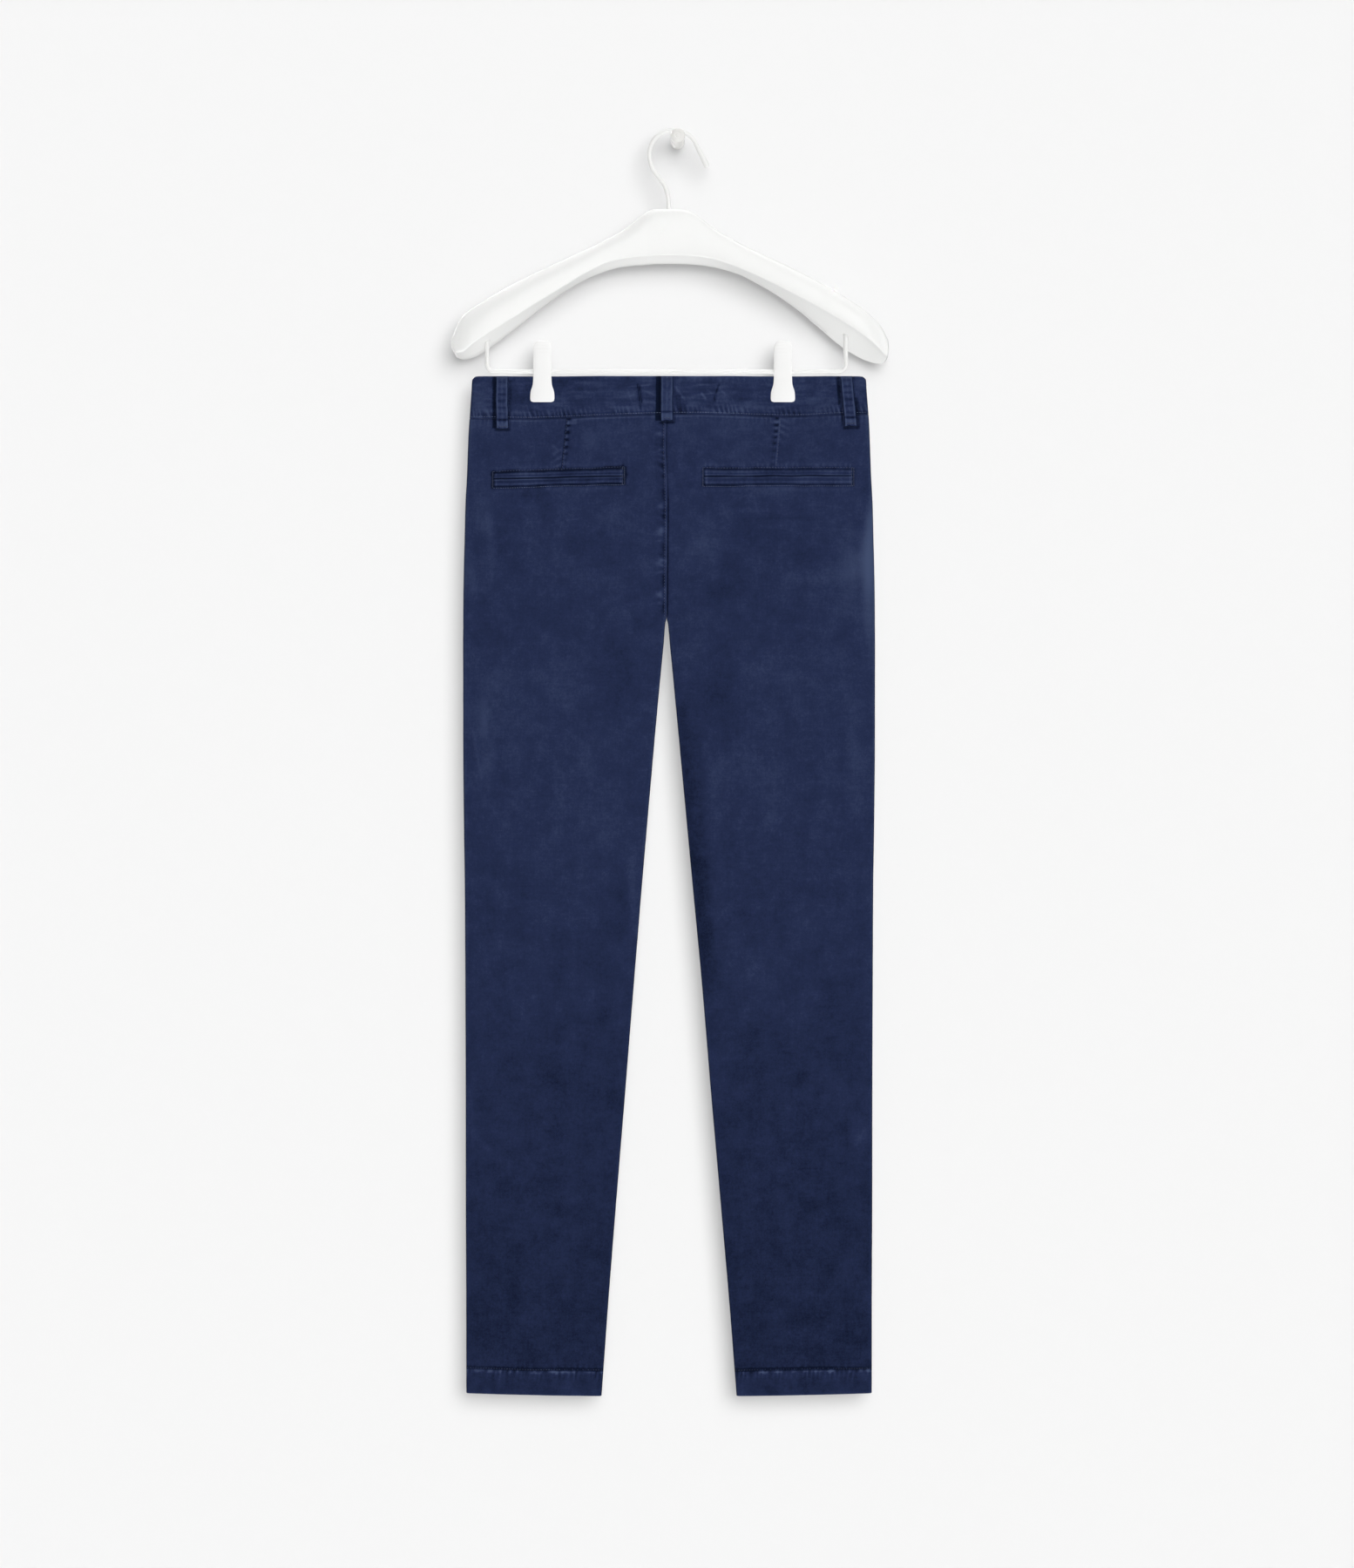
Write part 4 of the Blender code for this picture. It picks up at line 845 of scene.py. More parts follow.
twillLook = {"base": (0.0165, 0.0255, 0.0730), "faded": (0.052, 0.074, 0.152),
             "deep": (0.0020, 0.0055, 0.0200), "mottling": 1, "ribPitch": 0.0009, "slub": 0.35,
             "fuzz": 0.3, "relief": 0.00022, "sheen": 0.02, "sheenTint": (0.4, 0.55, 0.9),
             "specular": 0.06}
navyTwill = makeCloth("navyTwill", twillLook)
navyBand = makeCloth("navyBandTwill", dict(twillLook, mottling=1.25, slub=0.45))
lightThread = makeThread("fadedThread", (0.030, 0.042, 0.095), (0.11, 0.14, 0.24))
wornThread = makeThread("wornThread", (0.016, 0.025, 0.065), (0.070, 0.092, 0.175))
darkThread = makeThread("navyThread", (0.010, 0.014, 0.040), (0.035, 0.048, 0.105))
hardLooks = {
    "whiteLacquer": {"color": (0.712, 0.714, 0.706), "dustColor": (0.685, 0.69, 0.677), "dust": 0.25,
                     "roughness": 0.42, "grain": 420, "relief": 0.00006, "coat": 0.12},
    "whiteWire": {"color": (0.69, 0.69, 0.68), "dustColor": (0.65, 0.65, 0.635), "dust": 0.3,
                  "roughness": 0.35, "spread": 0.15, "grain": 700, "relief": 0.00004, "coat": 0.2},
    "whiteMoulding": {"color": (0.735, 0.735, 0.73), "dustColor": (0.70, 0.70, 0.69), "dust": 0.25,
                      "roughness": 0.48, "spread": 0.15, "grain": 520, "relief": 0.00005},
    "pegEnamel": {"color": (0.635, 0.632, 0.615), "dustColor": (0.56, 0.555, 0.53), "dust": 0.5,
                  "roughness": 0.4, "grain": 500, "relief": 0.00008},
    "buttonResin": {"color": (0.020, 0.024, 0.045), "dustColor": (0.045, 0.05, 0.075), "dust": 0.6,
                    "roughness": 0.36, "grain": 260, "relief": 0.00003},
    "zipMetal": {"color": (0.45, 0.38, 0.26), "dustColor": (0.25, 0.20, 0.14), "dust": 0.5,
                 "roughness": 0.34, "spread": 0.25, "grain": 900, "relief": 0.00003, "metallic": 1},
    "springSteel": {"color": (0.62, 0.62, 0.61), "dustColor": (0.42, 0.41, 0.39), "dust": 0.4,
                    "roughness": 0.3, "grain": 900, "relief": 0.00002, "metallic": 1},
}
hard = {name: makeHard(name, look) for name, look in hardLooks.items()}
print("materials ready")


sideNames, faceNames = {-1: "left", 1: "right"}, {-1: "back", 1: "front"}
panelGrid = {"edgeSteps": (0.1, 0.4, 0.88, 1.5, 2.22, 3, 4.2, 5.6, 7.1, 8.7, 10.4, 12.2, 14.1, 16.1, 18.3),
             "back": 104, "front": 56, "topGap": 0.08}


def panelDrops(facing):
    # levels of a panel's rows, closest together where the cloth has most relief
    start, end = trousers["bandHeight"] + panelGrid["topGap"], trousers["hemDrop"]
    fine, coarse, hem = (1, 5.6, 1.7) if facing < 0 else (2, 8.4, 2.6)
    seat = np.concatenate((np.arange(44.6, 52, fine), np.arange(52, 92, 1.6 * fine),
                           np.arange(92, 118, 0.9 * fine), np.arange(118, 257, 1.8 * fine)))
    return np.concatenate(((start, start + 0.35, start + 0.9, start + 1.8), seat,
                           np.arange(seat[-1] + 2 * fine, end - 39, coarse),
                           np.arange(end - 38, end - 1.4, hem), (end - 0.9, end - 0.5, end - 0.2, end)))


def edgeRound(distance, radius):
    near = np.clip(radius - distance, 0, radius)
    return radius - np.sqrt(np.maximum(0, radius ** 2 - near ** 2))


def middleShares(facing):
    # columns between the edges, closer together at the dart and at the pocket's ends
    if facing > 0:
        return np.arange(1, panelGrid["front"]) / panelGrid["front"]
    at = np.linspace(0, 1, 801)
    out = mix(21, 187, at)
    wide = 1 + 2.2 * bell(out - 108, 9) + 1.2 * bell(out - 41, 6) + 1.5 * bell(out - 179, 12)
    count = np.concatenate(([0], np.cumsum(0.5 * (wide[1:] + wide[:-1]))))
    return np.interp(np.arange(1, panelGrid["back"]) / panelGrid["back"], count / count[-1], at)


def legPanel(facing, side):
    drops = panelDrops(facing)[:, None]
    steps = np.array(panelGrid["edgeSteps"])
    inner, outer = innerEdge(side, drops), outerEdge(drops, side)
    forked = forkShare(drops)
    start, end = inner + steps[-1] + 0.6, outer - steps[-1] - 0.6
    middle = start + (end - start) * middleShares(facing)[None, :]
    if side < 0:
        inner = inner - 0.6 * (1 - forked)
    second = inner + mix(0.12, 0.01, forked)
    innerFold, outerFold = (inner, second, inner + 0.15 + steps), (outer - steps[::-1], outer - 0.01, outer)
    out = np.concatenate((*innerFold, middle, *outerFold), axis=1)
    drop = np.repeat(drops, out.shape[1], axis=1)
    depth = clothDepth(side, drop, out)
    depth[:, :1] = mix(depth[:, :1], trousers["seam"], forked)
    depth[:, -1] = trousers["seam"]
    x = side * out
    top = trousers["bandHeight"] + panelGrid["topGap"]
    realDrop = drop + (waistSeam(facing, x) - trousers["bandHeight"]) * (1 - smooth((drop - top) / 26))
    level = realDrop + hemSlope(side, realDrop, out)
    surface = grid(x, facing * np.maximum(depth, trousers["seam"]), -level)
    normals = gridNormals(surface, facing)
    height, wash = panelRelief(facing, side, x, level)
    fromEdges = np.minimum(out - inner, outer - out)
    height = height * mix(1, smooth(fromEdges / 5), np.where(fromEdges == outer - out, 1, forked))
    height = height - edgeRound(drop - top, 0.5) - edgeRound(trousers["hemDrop"] - drop, 0.7)
    outerFace = surface + normals * height[:, :, None]
    thin = np.where(side < 0, 0.75 * bell(out - inner, 2) * (1 - forked), 0)
    innerFace = surface - normals * (trousers["twill"] - 0.3 * bell(fromEdges, 3) - thin)[:, :, None]
    node = faceNames[facing] + "_" + sideNames[side]
    return clothShell(pieceName(node) + "Panel", outerFace, innerFace, wash, facing, node=node)


def waistbandHalf(side):
    share = np.concatenate(((0, 0.0035, 0.012, 0.028), np.linspace(0.05, 0.95, 34),
                            (0.972, 0.988, 0.9965, 1)))
    fold = np.array(panelGrid["edgeSteps"][:7])
    drops = share[:, None] * trousers["bandHeight"]
    halves = []
    for facing, count in ((-1, 168), (1, 104)):
        inner, outer = innerEdge(side, drops), outerEdge(drops, side)
        start, end = inner + 0.9, outer - fold[-1] - 0.8
        middle = start + (end - start) * (np.arange(count) / (count - 1))[None, :]
        out = np.concatenate((inner, inner + 0.3, middle, outer - fold[::-1], outer), axis=1)
        x = side * out
        drop = share[:, None] * waistSeam(facing, x)
        height, wash = bandRelief(facing, side, x, drop)
        height = height * smooth((outer - out) / 4) - edgeRound(out - inner, 0.4)
        halves.append((grid(x, facing * clothDepth(side, drops, out), -drop), height, wash))
    surface, height, wash = (np.concatenate((back, front[:, ::-1]), axis=1) for back, front in zip(*halves))
    normals = gridNormals(surface, -1)
    height = height - edgeRound(drops, 0.9) - edgeRound(trousers["bandHeight"] - drops, 0.5)
    innerFace = surface - normals * (trousers["band"] - edgeRound(drops, 0.8))[:, :, None]
    outerFace = surface + normals * height[:, :, None]
    return clothShell("waistband_" + sideNames[side], outerFace, innerFace, wash, -1, navyBand)


quarters = [(facing, side) for facing in (-1, 1) for side in (-1, 1)]
panels = {quarter: legPanel(*quarter) for quarter in quarters}
bands = {side: waistbandHalf(side) for side in (-1, 1)}
print("panels and waistband made")


def onCloth(facing, x, drop, lift):
    # points just off the finished cloth, panel or band, in the trousers' millimetres
    x, drop = np.broadcast_arrays(np.asarray(x, float), np.asarray(drop, float))
    sides = np.where(x < sectionAt(drop)[2], -1, 1)
    depth = np.zeros(x.shape)
    for side in (-1, 1):
        chosen = sides == side
        at = (x[chosen], drop[chosen])
        relief = np.where(at[1] < waistSeam(facing, at[0]), bandRelief(facing, side, *at)[0],
                          panelRelief(facing, side, *at)[0])
        depth[chosen] = clothDepth(side, at[1], side * at[0]) + relief
    return grid(x, facing * (depth + lift), -drop)


def plainCloth(facing, x, drop, lift):
    # the same without creases
    x, drop = np.broadcast_arrays(np.asarray(x, float), np.asarray(drop, float))
    left = x < sectionAt(drop)[2]
    depth = np.where(left, clothDepth(-1, drop, -x), clothDepth(1, drop, x))
    return grid(x, facing * (depth + lift), -drop)


def laidStrip(node, facing, x, drop, lift, under, wash):
    # a strip on the cloth; under is the depth of its hidden side below the cloth's face
    outer, inner = plainCloth(facing, x, drop, lift), plainCloth(facing, x, drop, -under)
    return clothShell(node, outer, inner, wash, facing)


def pocketWelt(pocket, upper):
    share = np.concatenate((np.linspace(0, 0.02, 4)[:-1], np.linspace(0.02, 0.98, 110),
                            np.linspace(0.98, 1, 4)[1:]))
    across = np.array((0, 0.1, 0.22, 0.36, 0.5, 0.64, 0.76, 0.86, 0.93, 0.975, 1))[:, None]
    depth = pocket["depth"]
    x = np.repeat(mix(pocket["start"], pocket["end"], share)[None, :], len(across), axis=0)
    top, mouth, low = pocketLines(pocket, x)
    lip = 0.35 + 0.25 * wander(x, 21, 5)
    drop = mix(top + 0.3, mouth - lip, across) if upper else mix(low - 0.3, mouth + lip, across)
    seed = 81 if upper else 87
    swell = np.sin(np.pi / 2 * np.clip(across / 0.45, 0, 1)) ** 0.8
    roll = np.sqrt(np.maximum(0, 1 - np.clip((across - 0.78) / 0.22, 0, 1) ** 2))
    tall = 0.75 + 0.12 * wander(x, 9, seed) + 0.1 * wander(x, 33, seed + 1)
    ends = smooth((x - pocket["start"]) / 2.2 + 0.1) * smooth((pocket["end"] - x) / 2.2 + 0.1)
    lift = -0.45 + (0.45 + tall) * swell * roll * mix(0.35, 1, ends)
    gather = puckers(x, across * 6, 5.4, 5, 0.14, seed)
    ridge = bell(across - (0.42 if upper else 0.3), 0.1) + bell(across - 0.86, 0.07)
    wash = 0.04 - 0.42 * depth + (0.45 + 0.4 * depth) * ridge - 0.9 * bell(across, 0.14) + gather
    # the lip at the mouth is darkened with painted shade from the slit
    wash = wash + 0.2 * wander(x, 15, seed + 2) - (0.6 + 0.6 * depth) * (across > 0.95)
    for middle, half, strength in pocket["shade"]:
        wash = wash + strength * bell(x - middle, half)
    wash = wash - 0.5 * (1 - ends)
    for inside in (x - pocket["start"], pocket["end"] - x):
        wash = wash + 0.5 * bell(inside - 2.6, 0.8)
    node = f"pocket_welt_{pocket['name']}_" + ("upper" if upper else "lower")
    return laidStrip(node, -1, x, drop, lift + gather, 0.75, wash)


welts = {pocket["name"]: [pocketWelt(pocket, True), pocketWelt(pocket, False)] for pocket in pockets}

loopStyle = {"width": 11.7, "wall": 1.5, "stand": 5, "firstDrop": 0.3, "ribPitch": 5.6, "ribHeight": 0.22}
beltLoops = (  # node, facing, x at the top, x at the end, length
    ("belt_loop_back_left", -1, -171.7, -171.3, 55), ("belt_loop_back_centre", -1, -1.6, -1.6, 47),
    ("belt_loop_back_right", -1, 183.2, 188, 52.5), ("belt_loop_front_left", 1, -88, -88, 54),
    ("belt_loop_front_right", 1, 84, 84, 54),
)


def beltLoop(node, facing, topX, endX, length, seed):
    share = np.concatenate((np.linspace(0, 0.05, 6)[:-1], np.linspace(0.05, 0.93, 46),
                            np.linspace(0.93, 1, 9)[1:]))[:, None]
    # 0.6 mm wider than the loop, for its painted shadow rim
    half = loopStyle["width"] / 2 + 0.6
    across = np.array((0.15, 0.36, 0.55, 0.68, 0.79, 0.87, 0.93, 0.97, 1))
    across = np.concatenate((-across[::-1], (0,), across))[None, :]
    aside = np.abs(across)
    down = share * length
    left = length - down
    drop = loopStyle["firstDrop"] + down + 0.5 * wander(across * 4, 2, seed) * smooth((share - 0.8) / 0.2)
    line = mix(topX, endX, share)
    middle = line + 0.25 * wander(down, 13, seed)
    x = middle + across * (half + 0.15 * wander(down, 7, seed + 3))
    base = np.abs(plainCloth(facing, line + np.array((-half, 0, half)), drop[:, [0, 9, 18]], 0)[..., 1])
    arch = np.minimum(1, np.sin(np.pi * np.clip(share, 0, 1)) * 2.4) ** 0.8
    under = base.max(axis=1)[:, None] + 0.45 + loopStyle["stand"] * arch
    rounded = 1 - np.sqrt(np.maximum(0, 1 - aside ** 6))
    uneven = down + 0.8 * wander(down, 6, seed)
    ribs = loopStyle["ribHeight"] * np.cos(2 * np.pi * uneven / loopStyle["ribPitch"])
    ribs = ribs * (1 - 0.5 * aside) * smooth(down / 5) * smooth(left / 6)
    foot = 0.7 * bell(left - 2.6, 2.4) - 0.35 * bell(left - 6.6, 1.1)
    head = 0.35 * bell(down - 1.6, 1.8) - 0.25 * bell(down - 5.2, 1)
    ends = edgeRound(left, 0.8) + edgeRound(down, 0.7)
    top = under + loopStyle["wall"] + 0.3 * bell(aside - 0.76, 0.13) + ribs + foot + head - ends
    top = top - 0.65 * rounded
    low = under + 0.55 * rounded + 0.4 * ends
    bars = (0.5 + 0.5 * np.cos(2 * np.pi * uneven / 6.6 + seed)) ** 3
    spread = 0.45 + 0.55 * bell(down - 22, 13) + 0.3 * bell(left - 10, 5)
    bars = (0.15 if "centre" in node else 1) * bars * spread
    wash = 0.2 + 0.5 * bell(aside - 0.74, 0.11) + 0.25 * bell(aside, 0.12)
    wash = wash - 0.6 * bars * (1 - smooth((aside - 0.5) / 0.25))
    wash = wash - 0.9 * bell(left - 9.6, 1) + 0.3 * bell(left - 5, 3)
    wash = wash + 0.12 * wander(down + 9 * aside, 3.1, seed + 8)
    # a painted shadow rim round the loop's sides and its end
    wash = mix(wash, -0.95, np.maximum(smooth((aside - 0.88) / 0.06), smooth((1.5 - left) / 0.7)))
    outer, inner = grid(x, facing * top, -drop), grid(x, facing * low, -drop)
    piece = clothShell(node, outer, inner, wash, facing, navyBand)
    return {"middle": middle[:, 0], "top": top[:, 9], "drop": drop[:, 9], "half": half, "facing": facing}


loops = [beltLoop(*row, seed) for seed, row in enumerate(beltLoops)]


def hemRing(side):
    wall, inset, count = 0.9, 1.55, 40
    share = np.concatenate(((0, 0.02, 0.05), np.linspace(0.1, 0.94, 16), (0.97, 1)))
    drop = (trousers["hemDrop"] - trousers["hemHeight"] - 3 + share * (trousers["hemHeight"] + 2.3))[:, None]
    inner, outer = innerEdge(side, drop) + inset, outerEdge(drop, side) - inset
    bend = 3 * (1 - np.cos(np.radians(np.linspace(0, 80, 6))))
    start, end = inner + bend[-1] + 1, outer - bend[-1] - 1
    middle = start + (end - start) * (np.arange(count) / (count - 1))[None, :]
    out = np.concatenate((inner + bend, middle, outer - bend[::-1]), axis=1)
    depth = clothDepth(side, drop, np.clip(out, inner + 0.02, outer - 0.02))
    near = np.minimum(out - inner, outer - out)
    depth = np.maximum(depth - inset, 0.5) * mix(0.35, 1, np.sqrt(np.clip(near / 3, 0, 1)))
    low = -(drop + hemSlope(side, drop, out))
    surface = np.concatenate((grid(side * out, -depth, low), grid(side * out, depth, low)[:, ::-1]), axis=1)
    normals = gridNormals(surface, -1)
    x = surface[..., 0]
    height = 0.15 * wander(x, 5, 91) * smooth((share[:, None] - 0.1) / 0.3)
    outer, inner = surface + normals * height[:, :, None], surface - normals * wall
    return clothShell("hem_" + sideNames[side], outer, inner, -0.05 + 0.1 * wander(x, 9, 93), -1, closed=True)


hems = {side: hemRing(side) for side in (-1, 1)}


def pocketEdge(side):
    share = np.linspace(0, 1, 90)[:, None]
    across = np.array((0, 0.06, 0.16, 0.3, 0.5, 0.7, 0.86, 0.95, 1))[None, :]
    drop = mix(slant["topDrop"] - 0.6, slant["lowDrop"], share)
    x = slantLine(side, drop) - side * slant["width"] * across
    swell = np.sqrt(np.maximum(0, 1 - (2 * across - 1) ** 6))
    lift = -0.3 + 1.15 * swell + 0.1 * wander(drop, 11, 95 + side)
    gather = puckers(drop, across * 7, 6, 6, 0.14, 97 + side)
    wash = 0.1 + 0.35 * bell(across - 0.05, 0.08) - 0.2 * bell(across - 1, 0.1) + gather
    return laidStrip("pocket_edge_" + sideNames[side], 1, x, drop, lift + gather, 0.4, wash)


pocketEdges = {side: pocketEdge(side) for side in (-1, 1)}


def flyWidth(drop):
    rounding = np.maximum(0, (drop - (fly["end"] - fly["width"] * 1.6)) / (fly["width"] * 1.6))
    return np.maximum(4, fly["width"] * np.sqrt(np.maximum(0, 1 - rounding ** 2)))


def flyFlap():
    drop = mix(trousers["bandHeight"] + 1, fly["end"], np.sin(np.pi / 2 * np.linspace(0, 1, 96)))[:, None]
    across = np.concatenate(((0, 0.015, 0.04), np.linspace(0.08, 0.92, 22), (0.96, 0.985, 1)))[None, :]
    x = fly["edge"] - flyWidth(drop) * across
    near = np.minimum(across, 1 - across) * flyWidth(drop)
    fromFree = (1 - across) * flyWidth(drop)
    lift = -0.3 + 1.2 * np.sqrt(np.clip(near / 1.6, 0, 1)) + 0.16 * mottle(x, drop, 14, 30, 4)
    stitchLine = bell(fromFree - 5, 1)
    gather = puckers(drop, fromFree - 4, 6.4, 9, 0.22, 99)
    wash = 0.06 + 0.3 * bell(near, 1.2) - 0.25 * stitchLine + gather + 0.08 * mottle(x, drop, 12, 20, 6)
    return laidStrip("fly_flap", 1, x, drop, lift - 0.2 * stitchLine + gather, 0.4, wash)


flap = flyFlap()
print("loops, pockets, hems and fly made")


def makeStitchTree():
    tree, given, out = newGroup("rowOfStitches", {
        "Guide": "Geometry", "Pitch": 0.0026, "Length": 0.002, "Thickness": 0.0006, "Turn": 0,
        "Unevenness": 0.15, "Seed": "Int", "Thread": "Material"},
        {"Stitches": "Geometry"}, "GeometryNodeTree")
    thickness, unevenness, seed = given["Thickness"], given["Unevenness"], given["Seed"]

    def calc(operation, first, second):
        return put(tree, "ShaderNodeMath", {0: first, 1: second}, operation=operation)

    def pick(low, high, seedSocket):
        made = put(tree, "FunctionNodeRandomValue", {2: low, 3: high, "Seed": seedSocket}, data_type="FLOAT")
        return made.outputs[1]

    line = put(tree, "GeometryNodeMeshToCurve", {0: given["Guide"]})
    dots = put(tree, "GeometryNodeResampleCurve", {"Curve": line, "Length": given["Pitch"]}, mode="LENGTH")
    up = put(tree, "GeometryNodeInputNamedAttribute", {"Name": "up"}, data_type="FLOAT_VECTOR")
    lay = put(tree, "FunctionNodeAxesToRotation", {0: put(tree, "GeometryNodeInputTangent"), 1: up},
              primary_axis="X", secondary_axis="Z")
    tilt = pick(calc("MULTIPLY", unevenness, -1), unevenness, seed)
    turn = put(tree, "ShaderNodeCombineXYZ", {2: calc("ADD", tilt, given["Turn"])})
    turned = put(tree, "FunctionNodeRotateRotation",
                 {0: lay, 1: put(tree, "FunctionNodeEulerToRotation", {0: turn})}, rotation_space="LOCAL")
    grain = put(tree, "GeometryNodeMeshIcoSphere", {"Radius": 0.5, "Subdivisions": 1})
    vary = pick(0.82, 1.12, calc("ADD", seed, 3))
    size = put(tree, "ShaderNodeCombineXYZ", {0: calc("MULTIPLY", given["Length"], vary), 1: thickness,
                                              2: calc("MULTIPLY", thickness, 0.9)})
    many = put(tree, "GeometryNodeInstanceOnPoints", {"Points": dots, "Instance": grain, "Rotation": turned,
                                                      "Scale": size})
    toned = put(tree, "GeometryNodeStoreNamedAttribute",
                {"Geometry": many, "Name": "tone", "Value": pick(0, 1, calc("ADD", seed, 9))},
                data_type="FLOAT", domain="INSTANCE")
    real = put(tree, "GeometryNodeRealizeInstances", {0: toned})
    soft = put(tree, "GeometryNodeSetShadeSmooth", {0: real})
    sewn = put(tree, "GeometryNodeSetMaterial", {"Geometry": soft, "Material": given["Thread"]})
    connect(tree, out, {0: sewn})
    return tree


stitchTree = makeStitchTree()


def sew(name, lines, style, thread):
    # stitches along lines on the cloth; each line is its points in millimetres and the way it faces
    edges, ups, first = [], [], 0
    for line, facing in lines:
        edges += [(first + step, first + step + 1) for step in range(len(line) - 1)]
        ups += [0, facing, 0] * len(line)
        first += len(line)
    mesh = bpy.data.meshes.new(name)
    mesh.from_pydata(place(np.concatenate([line for line, facing in lines])).tolist(), edges, [])
    mesh.attributes.new("up", "FLOAT_VECTOR", "POINT").data.foreach_set("vector", np.array(ups, np.float32))
    piece = addObject(name, mesh)
    rows = piece.modifiers.new("stitches", "NODES")
    rows.node_group = stitchTree
    values = {"Pitch": style["pitch"] * mm, "Length": style["length"] * mm,
              "Thickness": style["thickness"] * mm, "Turn": float(style.get("turn", 0)),
              "Unevenness": float(style.get("unevenness", 0.12)), "Seed": style["seed"],
              "Thread": thread}
    for item in stitchTree.interface.items_tree:
        if item.name in values:
            rows[item.identifier] = values[item.name]
    asPlainMesh(piece)
    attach(piece, "root")


def seamLine(facing, x, drop, lift):
    return onCloth(facing, x, drop, lift), facing


topStitch = {"pitch": 2.7, "length": 2.1, "thickness": 0.62}
tack = {"pitch": 0.8, "length": 1.5, "thickness": 0.5, "turn": math.pi / 2}
lines, pale = [], []
for facing, side in quarters:
    for row, start, end, count in ((lines, 44, 203, 90), (pale, 3.5 if facing < 0 else 6, 44, 30)):
        x = side * np.linspace(start, end, count)
        row.append(seamLine(facing, x, waistSeam(facing, x) - 1.9, 0.16))
sew("stitchesWaist", lines, dict(topStitch, seed=3), wornThread)
sew("stitchesWaistMiddle", pale, dict(topStitch, seed=4), lightThread)
lines = []
for facing, side in quarters:
    level = trousers["hemDrop"] - 25
    out = np.linspace(innerEdge(side, level) + 2, outerEdge(level, side) - 2, 60)
    slope = hemSlope(side, trousers["hemDrop"] - trousers["hemHeight"], out)
    lines.append(seamLine(facing, side * out, hemSeam(facing, side, side * out) + slope - 0.2, 0.12))
sew("stitchesHems", lines, dict(topStitch, seed=5, thickness=0.5), darkThread)
lowLines, topLines, tackLines = [], [], []
for pocket in pockets:
    x = np.linspace(pocket["start"] + 0.5, pocket["end"] - 0.5, 80)
    top, mouth, low = pocketLines(pocket, x)
    lowLines.append(seamLine(-1, x, low + 0.9, 0.2))
    topLines.append(seamLine(-1, x, top - 0.9, 0.2))
    for end, shift, lift in (("start", -0.9, 0.2), ("end", 0.9, 0.2), ("end", -1.2, 0.75)):
        top, mouth, low = pocketLines(pocket, pocket[end])
        tackLines.append(seamLine(-1, pocket[end] + shift, np.linspace(top - 0.6, low + 0.6, 12), lift))
sew("stitchesPocketLow", lowLines, dict(topStitch, seed=7, pitch=2.4, length=1.9), wornThread)
sew("stitchesPocketTop", topLines, dict(topStitch, seed=8, pitch=2.9, thickness=0.55), darkThread)
sew("tacksPockets", tackLines, dict(tack, seed=9), darkThread)
tackLines = []
for loop in loops:
    for level in (loop["drop"][0] + 2.2, loop["drop"][-1] - 3.2):
        middle, top = (np.interp(level, loop["drop"], loop[key]) for key in ("middle", "top"))
        x = middle + np.linspace(2 - loop["half"], loop["half"] - 2, 8)
        tackLines.append((grid(x, loop["facing"] * (top + 0.12), -level), loop["facing"]))
sew("tacksLoops", tackLines, dict(tack, seed=11, pitch=0.75, length=1.7), darkThread)
drop = np.linspace(46, fly["end"] - 7, 90)
lines = [seamLine(1, fly["edge"] - np.maximum(2, flyWidth(drop) - 4.8), drop, 0.95)]
drop = np.linspace(46, slant["lowDrop"] - 2, 70)
for side in (-1, 1):
    for inland, lift in ((1.4, 0.85), (slant["width"] - 0.9, 0.75)):
        lines.append(seamLine(1, slantLine(side, drop) - side * inland, drop, lift))
sew("stitchesFront", lines, dict(topStitch, seed=13), lightThread)
drop = np.linspace(46, 247, 90)
lines = [seamLine(facing, sectionAt(part)[2] - 1.9, part, 0.12)
         for facing, part in ((-1, drop), (1, drop[40:]))]
share = np.linspace(0.04, 0.98, 30)
for dart in darts:
    x, drop = (mix(dart["top"][axis], dart["end"][axis], share) for axis in (0, 1))
    lines.append(seamLine(-1, x + 1, drop, 0.1))
sew("stitchesSeat", lines, dict(topStitch, seed=15, pitch=3, thickness=0.45), darkThread)
print("stitches sewn")

zipStyle = {"middle": -2.2, "width": 24, "top": 45, "end": 196, "wall": 0.5, "behind": 2.2}


def flyZip():
    middle, top, metal = zipStyle["middle"], zipStyle["top"], hard["zipMetal"]
    drop = np.linspace(top, zipStyle["end"], 60)[:, None]
    x = middle + np.linspace(-0.5, 0.5, 19)[None, :] * zipStyle["width"]
    depth = np.abs(plainCloth(1, x, drop, 0)[..., 1]).min(axis=1)[:, None] - zipStyle["behind"]
    outer = grid(x, depth + 0.08 * np.sin(x * 4), -drop)
    clothShell("zipTape", outer, outer - np.array((0, zipStyle["wall"], 0)),
               -0.35 + 0.1 * mottle(x, drop, 3, 9, 8), 1, node="fly_zip")
    level = depth[:, 0] + 0.35
    tracks = []
    for shift, start in ((-0.75, 0), (0.75, 0.9)):
        along = np.linspace(top + 2 + start, zipStyle["end"] - 6 + start, 60)
        tracks.append((grid(middle + shift, np.interp(along, drop[:, 0], level), -along), 1))
    sew("zipTeeth", tracks, dict(tack, pitch=1.8, length=2.6, thickness=1, unevenness=0, seed=17), metal)
    share = np.linspace(-1, 1, 9)
    half, run = np.array(((3.6, 0), (4.2, 2), (4.2, 6.5), (3.2, 10), (2.4, 12))).T[:, :, None]
    slider = grid(middle + share * half, level[2] + 0.3 * (0.5 - np.abs(share) ** 3), -top - 2 - run)
    clothShell("zipSlider", slider + np.array((0, 0.3, 0)), slider - np.array((0, 0.9, 0)), 0, 1, metal)


flyZip()

